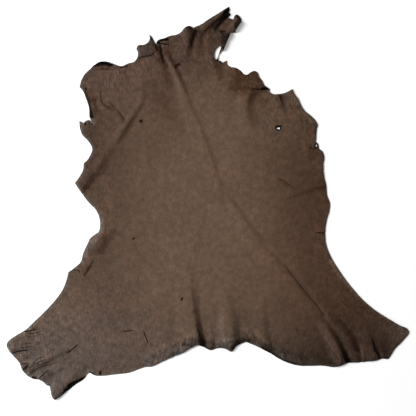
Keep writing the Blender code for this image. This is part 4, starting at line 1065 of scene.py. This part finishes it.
def add_colour(mesh, colour):
    """A colour for each point of the grain side, white on the others."""
    values = np.ones((len(mesh.vertices), 4), np.float32)
    values[:len(colour), :3] = colour
    layer = mesh.attributes.new("skin colour and painted light", "FLOAT_COLOR", "POINT")
    layer.data.foreach_set("color", values.ravel())


def add_object(name, data, place=(0, 0, 0)):
    """A new object in the scene."""
    made = bpy.data.objects.new(name, data)
    bpy.context.scene.collection.objects.link(made)
    made.location = place
    return made


def raised(flat, edge_tree):
    """The underside at each place of the flat pattern, turned over where it is, in millimetres."""
    plan, lift = turned_over(flat)
    edge, _ = nearest_in(edge_tree, plan)
    return np.column_stack([plan, height_over(plan, edge) + lift])


def sheet_mesh(corners, sides):
    """A mesh with one material for each of its sides, in metres."""
    mesh = bpy.data.meshes.new("goatskin")
    mesh.from_pydata(corners.tolist(), [], [face for side in sides for face in side.tolist()])
    materials = np.repeat(np.arange(len(sides), dtype=np.int32), [len(side) for side in sides])
    mesh.polygons.foreach_set("material_index", materials)
    mesh.shade_smooth()
    mesh.set_sharp_from_angle(angle=math.radians(SHARP_ANGLE))
    return mesh


def make_skin():
    """The skin as one closed sheet: grain side, flesh side and the cut edge between them."""
    outer = ragged(curve_through(cut_edge(), EDGE_ERROR, EDGE_STEP))
    holes = {name: hole_edge(*hole) for name, hole in HOLES.items()}
    loops = [outer, *holes.values()]
    edge_tree = tree_of(np.concatenate(loops))
    grain_flat, grain_faces = grain_pattern(loops, edge_tree)
    flesh_flat, flesh_faces = flesh_pattern(loops, edge_tree)

    edge, way = nearest_in(edge_tree, grain_flat)
    slack = slack_over(grain_flat, edge)
    depth, dark = grooves(grain_flat)
    relief = GRAIN_RELIEF * (TIGHT_RELIEF + slack) * noise_over(grain_flat, "grain")
    out = THICKNESS + np.where(edge > PLAIN_EDGE, relief - depth, 0)
    under = raised(grain_flat, edge_tree)
    grain = under + normals_of(under, grain_faces) * out[:, None]
    corners = np.concatenate([grain, raised(flesh_flat, edge_tree)]) * MM
    sides = [grain_faces, flesh_faces[:, ::-1] + len(grain), cut_quads(loops, len(grain))]
    mesh = sheet_mesh(corners, sides)

    # the holes that get painted shade round their rims
    rims = tree_of(np.concatenate([holes[name] for name in DARK_RIMMED]))
    hole_away, _ = nearest_in(rims, grain_flat)
    add_colour(mesh, colour_over(grain_flat, edge, way, hole_away))
    # painted shade of the creases
    add_shares(mesh, "crease", dark)
    add_shares(mesh, "slack", slack)
    middle = (corners.min(axis=0) + corners.max(axis=0)) / 2
    x, y, _ = np.mean(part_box("hide"), axis=0) - middle
    mesh.transform(Matrix.Translation((x, y, 0)))
    return add_object("goatskin", mesh)


# Materials

def node(tree, kind, inputs=None, **settings):
    """A new node with its settings, its inputs set to values or linked to sockets."""
    made = tree.nodes.new(kind)
    for name, value in settings.items():
        setattr(made, name, value)
    set_inputs(tree, made, inputs or {})
    return made


def set_inputs(tree, made, inputs):
    """Set each named input of a node to a value, or link it to a socket."""
    for name, value in inputs.items():
        if isinstance(value, bpy.types.NodeSocket):
            tree.links.new(value, made.inputs[name])
        else:
            made.inputs[name].default_value = value


def ranged(tree, value, low, high, from_low=0.3, from_high=0.7):
    """A texture value spread from low to high."""
    made = node(tree, "ShaderNodeMapRange", {
        "Value": value, "From Min": from_low, "From Max": from_high, "To Min": low, "To Max": high,
    })
    return made.outputs["Result"]


def math_node(tree, operation, *values):
    """The result of one operation on values or numbers."""
    return node(tree, "ShaderNodeMath", dict(enumerate(values)), operation=operation).outputs[0]


def product(tree, *values):
    """All the values multiplied together."""
    total = values[0]
    for value in values[1:]:
        total = math_node(tree, "MULTIPLY", total, value)
    return total


def scaled(tree, colour, factor):
    """A colour multiplied by one number."""
    made = node(tree, "ShaderNodeVectorMath", {0: colour, "Scale": factor}, operation="SCALE")
    return made.outputs["Vector"]


def blended(tree, factor, first, second, blend="MIX"):
    """A mix of two colours."""
    inputs = {0: factor, 6: first, 7: second}
    return node(tree, "ShaderNodeMix", inputs, data_type="RGBA", blend_type=blend).outputs[2]


def tinted(tree, first, second):
    """Two colours multiplied together."""
    return blended(tree, 1.0, first, second, "MULTIPLY")


def noise_at(tree, place, scale, detail=3, roughness=0.55):
    """Soft noise of so many features a metre."""
    made = node(tree, "ShaderNodeTexNoise", {
        "Vector": place, "Scale": scale, "Detail": detail, "Roughness": roughness,
    })
    return made.outputs["Fac"]


def bumped(tree, height, distance, strength, under=None):
    """A normal that follows a height, on top of another bump where one is given."""
    inputs = {"Height": height, "Distance": distance, "Strength": strength}
    if under is not None:
        inputs["Normal"] = under
    return node(tree, "ShaderNodeBump", inputs).outputs["Normal"]


def new_material(name):
    """An empty Principled material, its nodes, its shader and the place in metres."""
    material = bpy.data.materials.new(name)
    material.use_nodes = True
    tree = material.node_tree
    shader = tree.nodes["Principled BSDF"]
    place = node(tree, "ShaderNodeTexCoord").outputs["Object"]
    return material, tree, shader, place


def grain_textures(tree, place):
    """The grain side's textures by name."""
    made = {name: noise_at(tree, place, *values) for name, values in TEXTURES.items()}
    long_way = node(tree, "ShaderNodeMapping", {"Vector": place, "Scale": STREAK_SCALE})
    made["streaks"] = noise_at(tree, long_way.outputs["Vector"], 1)
    pores = node(tree, "ShaderNodeTexVoronoi", {"Vector": place, "Scale": PORE_SCALE})
    made["pores"] = pores.outputs["Distance"]
    inputs = {"Vector": place, "Scale": PEBBLE_SCALE, "Smoothness": PEBBLE_SMOOTHNESS}
    pebble = node(tree, "ShaderNodeTexVoronoi", inputs, feature="SMOOTH_F1")
    made["pebble"] = pebble.outputs["Distance"]
    return made


def grain_material():
    """Waxy brown grain: pores, pebble, growth streaks, mottling and painted shade in the creases."""
    material, tree, shader, place = new_material("goat grain")
    colour = node(tree, "ShaderNodeAttribute", attribute_name="skin colour and painted light").outputs["Color"]
    # the creases' painted shade
    crease = node(tree, "ShaderNodeAttribute", attribute_name="crease").outputs["Fac"]
    slack = node(tree, "ShaderNodeAttribute", attribute_name="slack").outputs["Fac"]
    textures = grain_textures(tree, place)

    def by_slack(growth_and_start):
        return math_node(tree, "MULTIPLY_ADD", slack, *growth_and_start)

    def tones(table, contrast):
        spread = [ranged(tree, textures[name], *span) for name, span in table.items()]
        return math_node(tree, "POWER", product(tree, *spread), by_slack(contrast))

    tone = product(tree, tones(BROAD_TONES, BROAD_CONTRAST), tones(FINE_TONES, FINE_CONTRAST))
    shift = blended(tree, ranged(tree, textures["hue"], 0, 1), WARM, COOL)
    shift = blended(tree, by_slack(HUE_CONTRAST), WHITE, shift)
    leather = tinted(tree, scaled(tree, colour, tone), shift)
    frost = product(tree, ranged(tree, textures["frosting"], *FROST_RANGE), slack)
    leather = blended(tree, frost, leather, tinted(tree, colour, FROST))
    normal = None
    for name, (distance, strength) in BUMPS.items():
        normal = bumped(tree, textures[name], distance, strength, normal)
    set_inputs(tree, shader, {
        "Base Color": blended(tree, crease, leather, CREASE_SHADE_COLOUR),
        "Roughness": ranged(tree, textures["mottle"], *GRAIN_ROUGHNESS),
        "Normal": normal,
        "Specular IOR Level": 0.03,
        "Sheen Weight": 0.012,
        "Sheen Roughness": 0.35,
        "Sheen Tint": (0.80, 0.88, 1.0, 1.0),
    })
    return material


def flesh_material():
    """Dark suede of the flesh side, with paler fibre ends."""
    material, tree, shader, place = new_material("goat suede")
    fibres = noise_at(tree, place, 700, 3, 0.7)
    clouds = noise_at(tree, place, 110, 2)
    nap = ranged(tree, fibres, 0, 1, 0.4, 0.7)
    colour = blended(tree, nap, (0.009, 0.005, 0.004, 1), (0.034, 0.021, 0.015, 1))
    set_inputs(tree, shader, {
        "Base Color": scaled(tree, colour, ranged(tree, clouds, 0.3, 1.5, 0.38, 0.62)),
        "Normal": bumped(tree, fibres, 0.0008, 0.6),
        "Roughness": 0.95,
        "Specular IOR Level": 0.05,
        "Sheen Weight": 0.05,
    })
    return material


def cut_material():
    """The raw fibres of the knife-cut edge."""
    material, tree, shader, place = new_material("goat cut edge")
    fibres = noise_at(tree, place, 900, 3, 0.7)
    nap = ranged(tree, fibres, 0, 1)
    set_inputs(tree, shader, {
        "Base Color": blended(tree, nap, (0.018, 0.012, 0.009, 1), (0.08, 0.06, 0.046, 1)),
        "Normal": bumped(tree, fibres, 0.0004, 0.5),
        "Roughness": 0.92,
        "Specular IOR Level": 0.08,
    })
    return material


# Studio

def make_floor():
    """A pale, plain floor."""
    bpy.ops.mesh.primitive_plane_add(size=FLOOR_SIZE, location=(0, 0, -FLOOR_GAP))
    floor = bpy.context.object
    floor.name = "floor"
    material, tree, shader, _ = new_material("floor paper")
    set_inputs(tree, shader, {
        "Base Color": (0.93, 0.93, 0.93, 1),
        "Roughness": 0.9,
        "Specular IOR Level": 0.1,
    })
    floor.data.materials.append(material)


def make_light(name, place, size, watts, colour):
    """A square soft light that faces the skin and doesn't show itself."""
    lamp = bpy.data.lights.new(name, "AREA")
    lamp.size = size
    lamp.energy = watts
    lamp.color = colour
    light = add_object(name, lamp, place)
    light.rotation_euler = Vector(place).to_track_quat("Z", "Y").to_euler()
    light.visible_camera = False


def make_world():
    """Even white light from all round."""
    world = bpy.data.worlds.new("studio")
    world.use_nodes = True
    background = world.node_tree.nodes["Background"]
    set_inputs(world.node_tree, background, {"Color": WHITE, "Strength": WORLD_STRENGTH})
    bpy.context.scene.world = world


def make_camera():
    """The camera straight above the middle of the pattern."""
    lens = bpy.data.cameras.new("camera")
    lens.sensor_width = SENSOR_WIDTH
    lens.lens = SENSOR_WIDTH * CAMERA_HEIGHT / VIEW_WIDTH
    bpy.context.scene.camera = add_object("camera", lens, (*VIEW_MIDDLE, CAMERA_HEIGHT))


make_floor()
for name, light in LIGHTS.items():
    make_light(name, *light)
make_world()
make_camera()
skin = make_skin()
for material in (grain_material(), flesh_material(), cut_material()):
    skin.data.materials.append(material)
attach(skin, "root")
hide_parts("hide")
bpy.context.scene.view_settings.view_transform = "Standard"
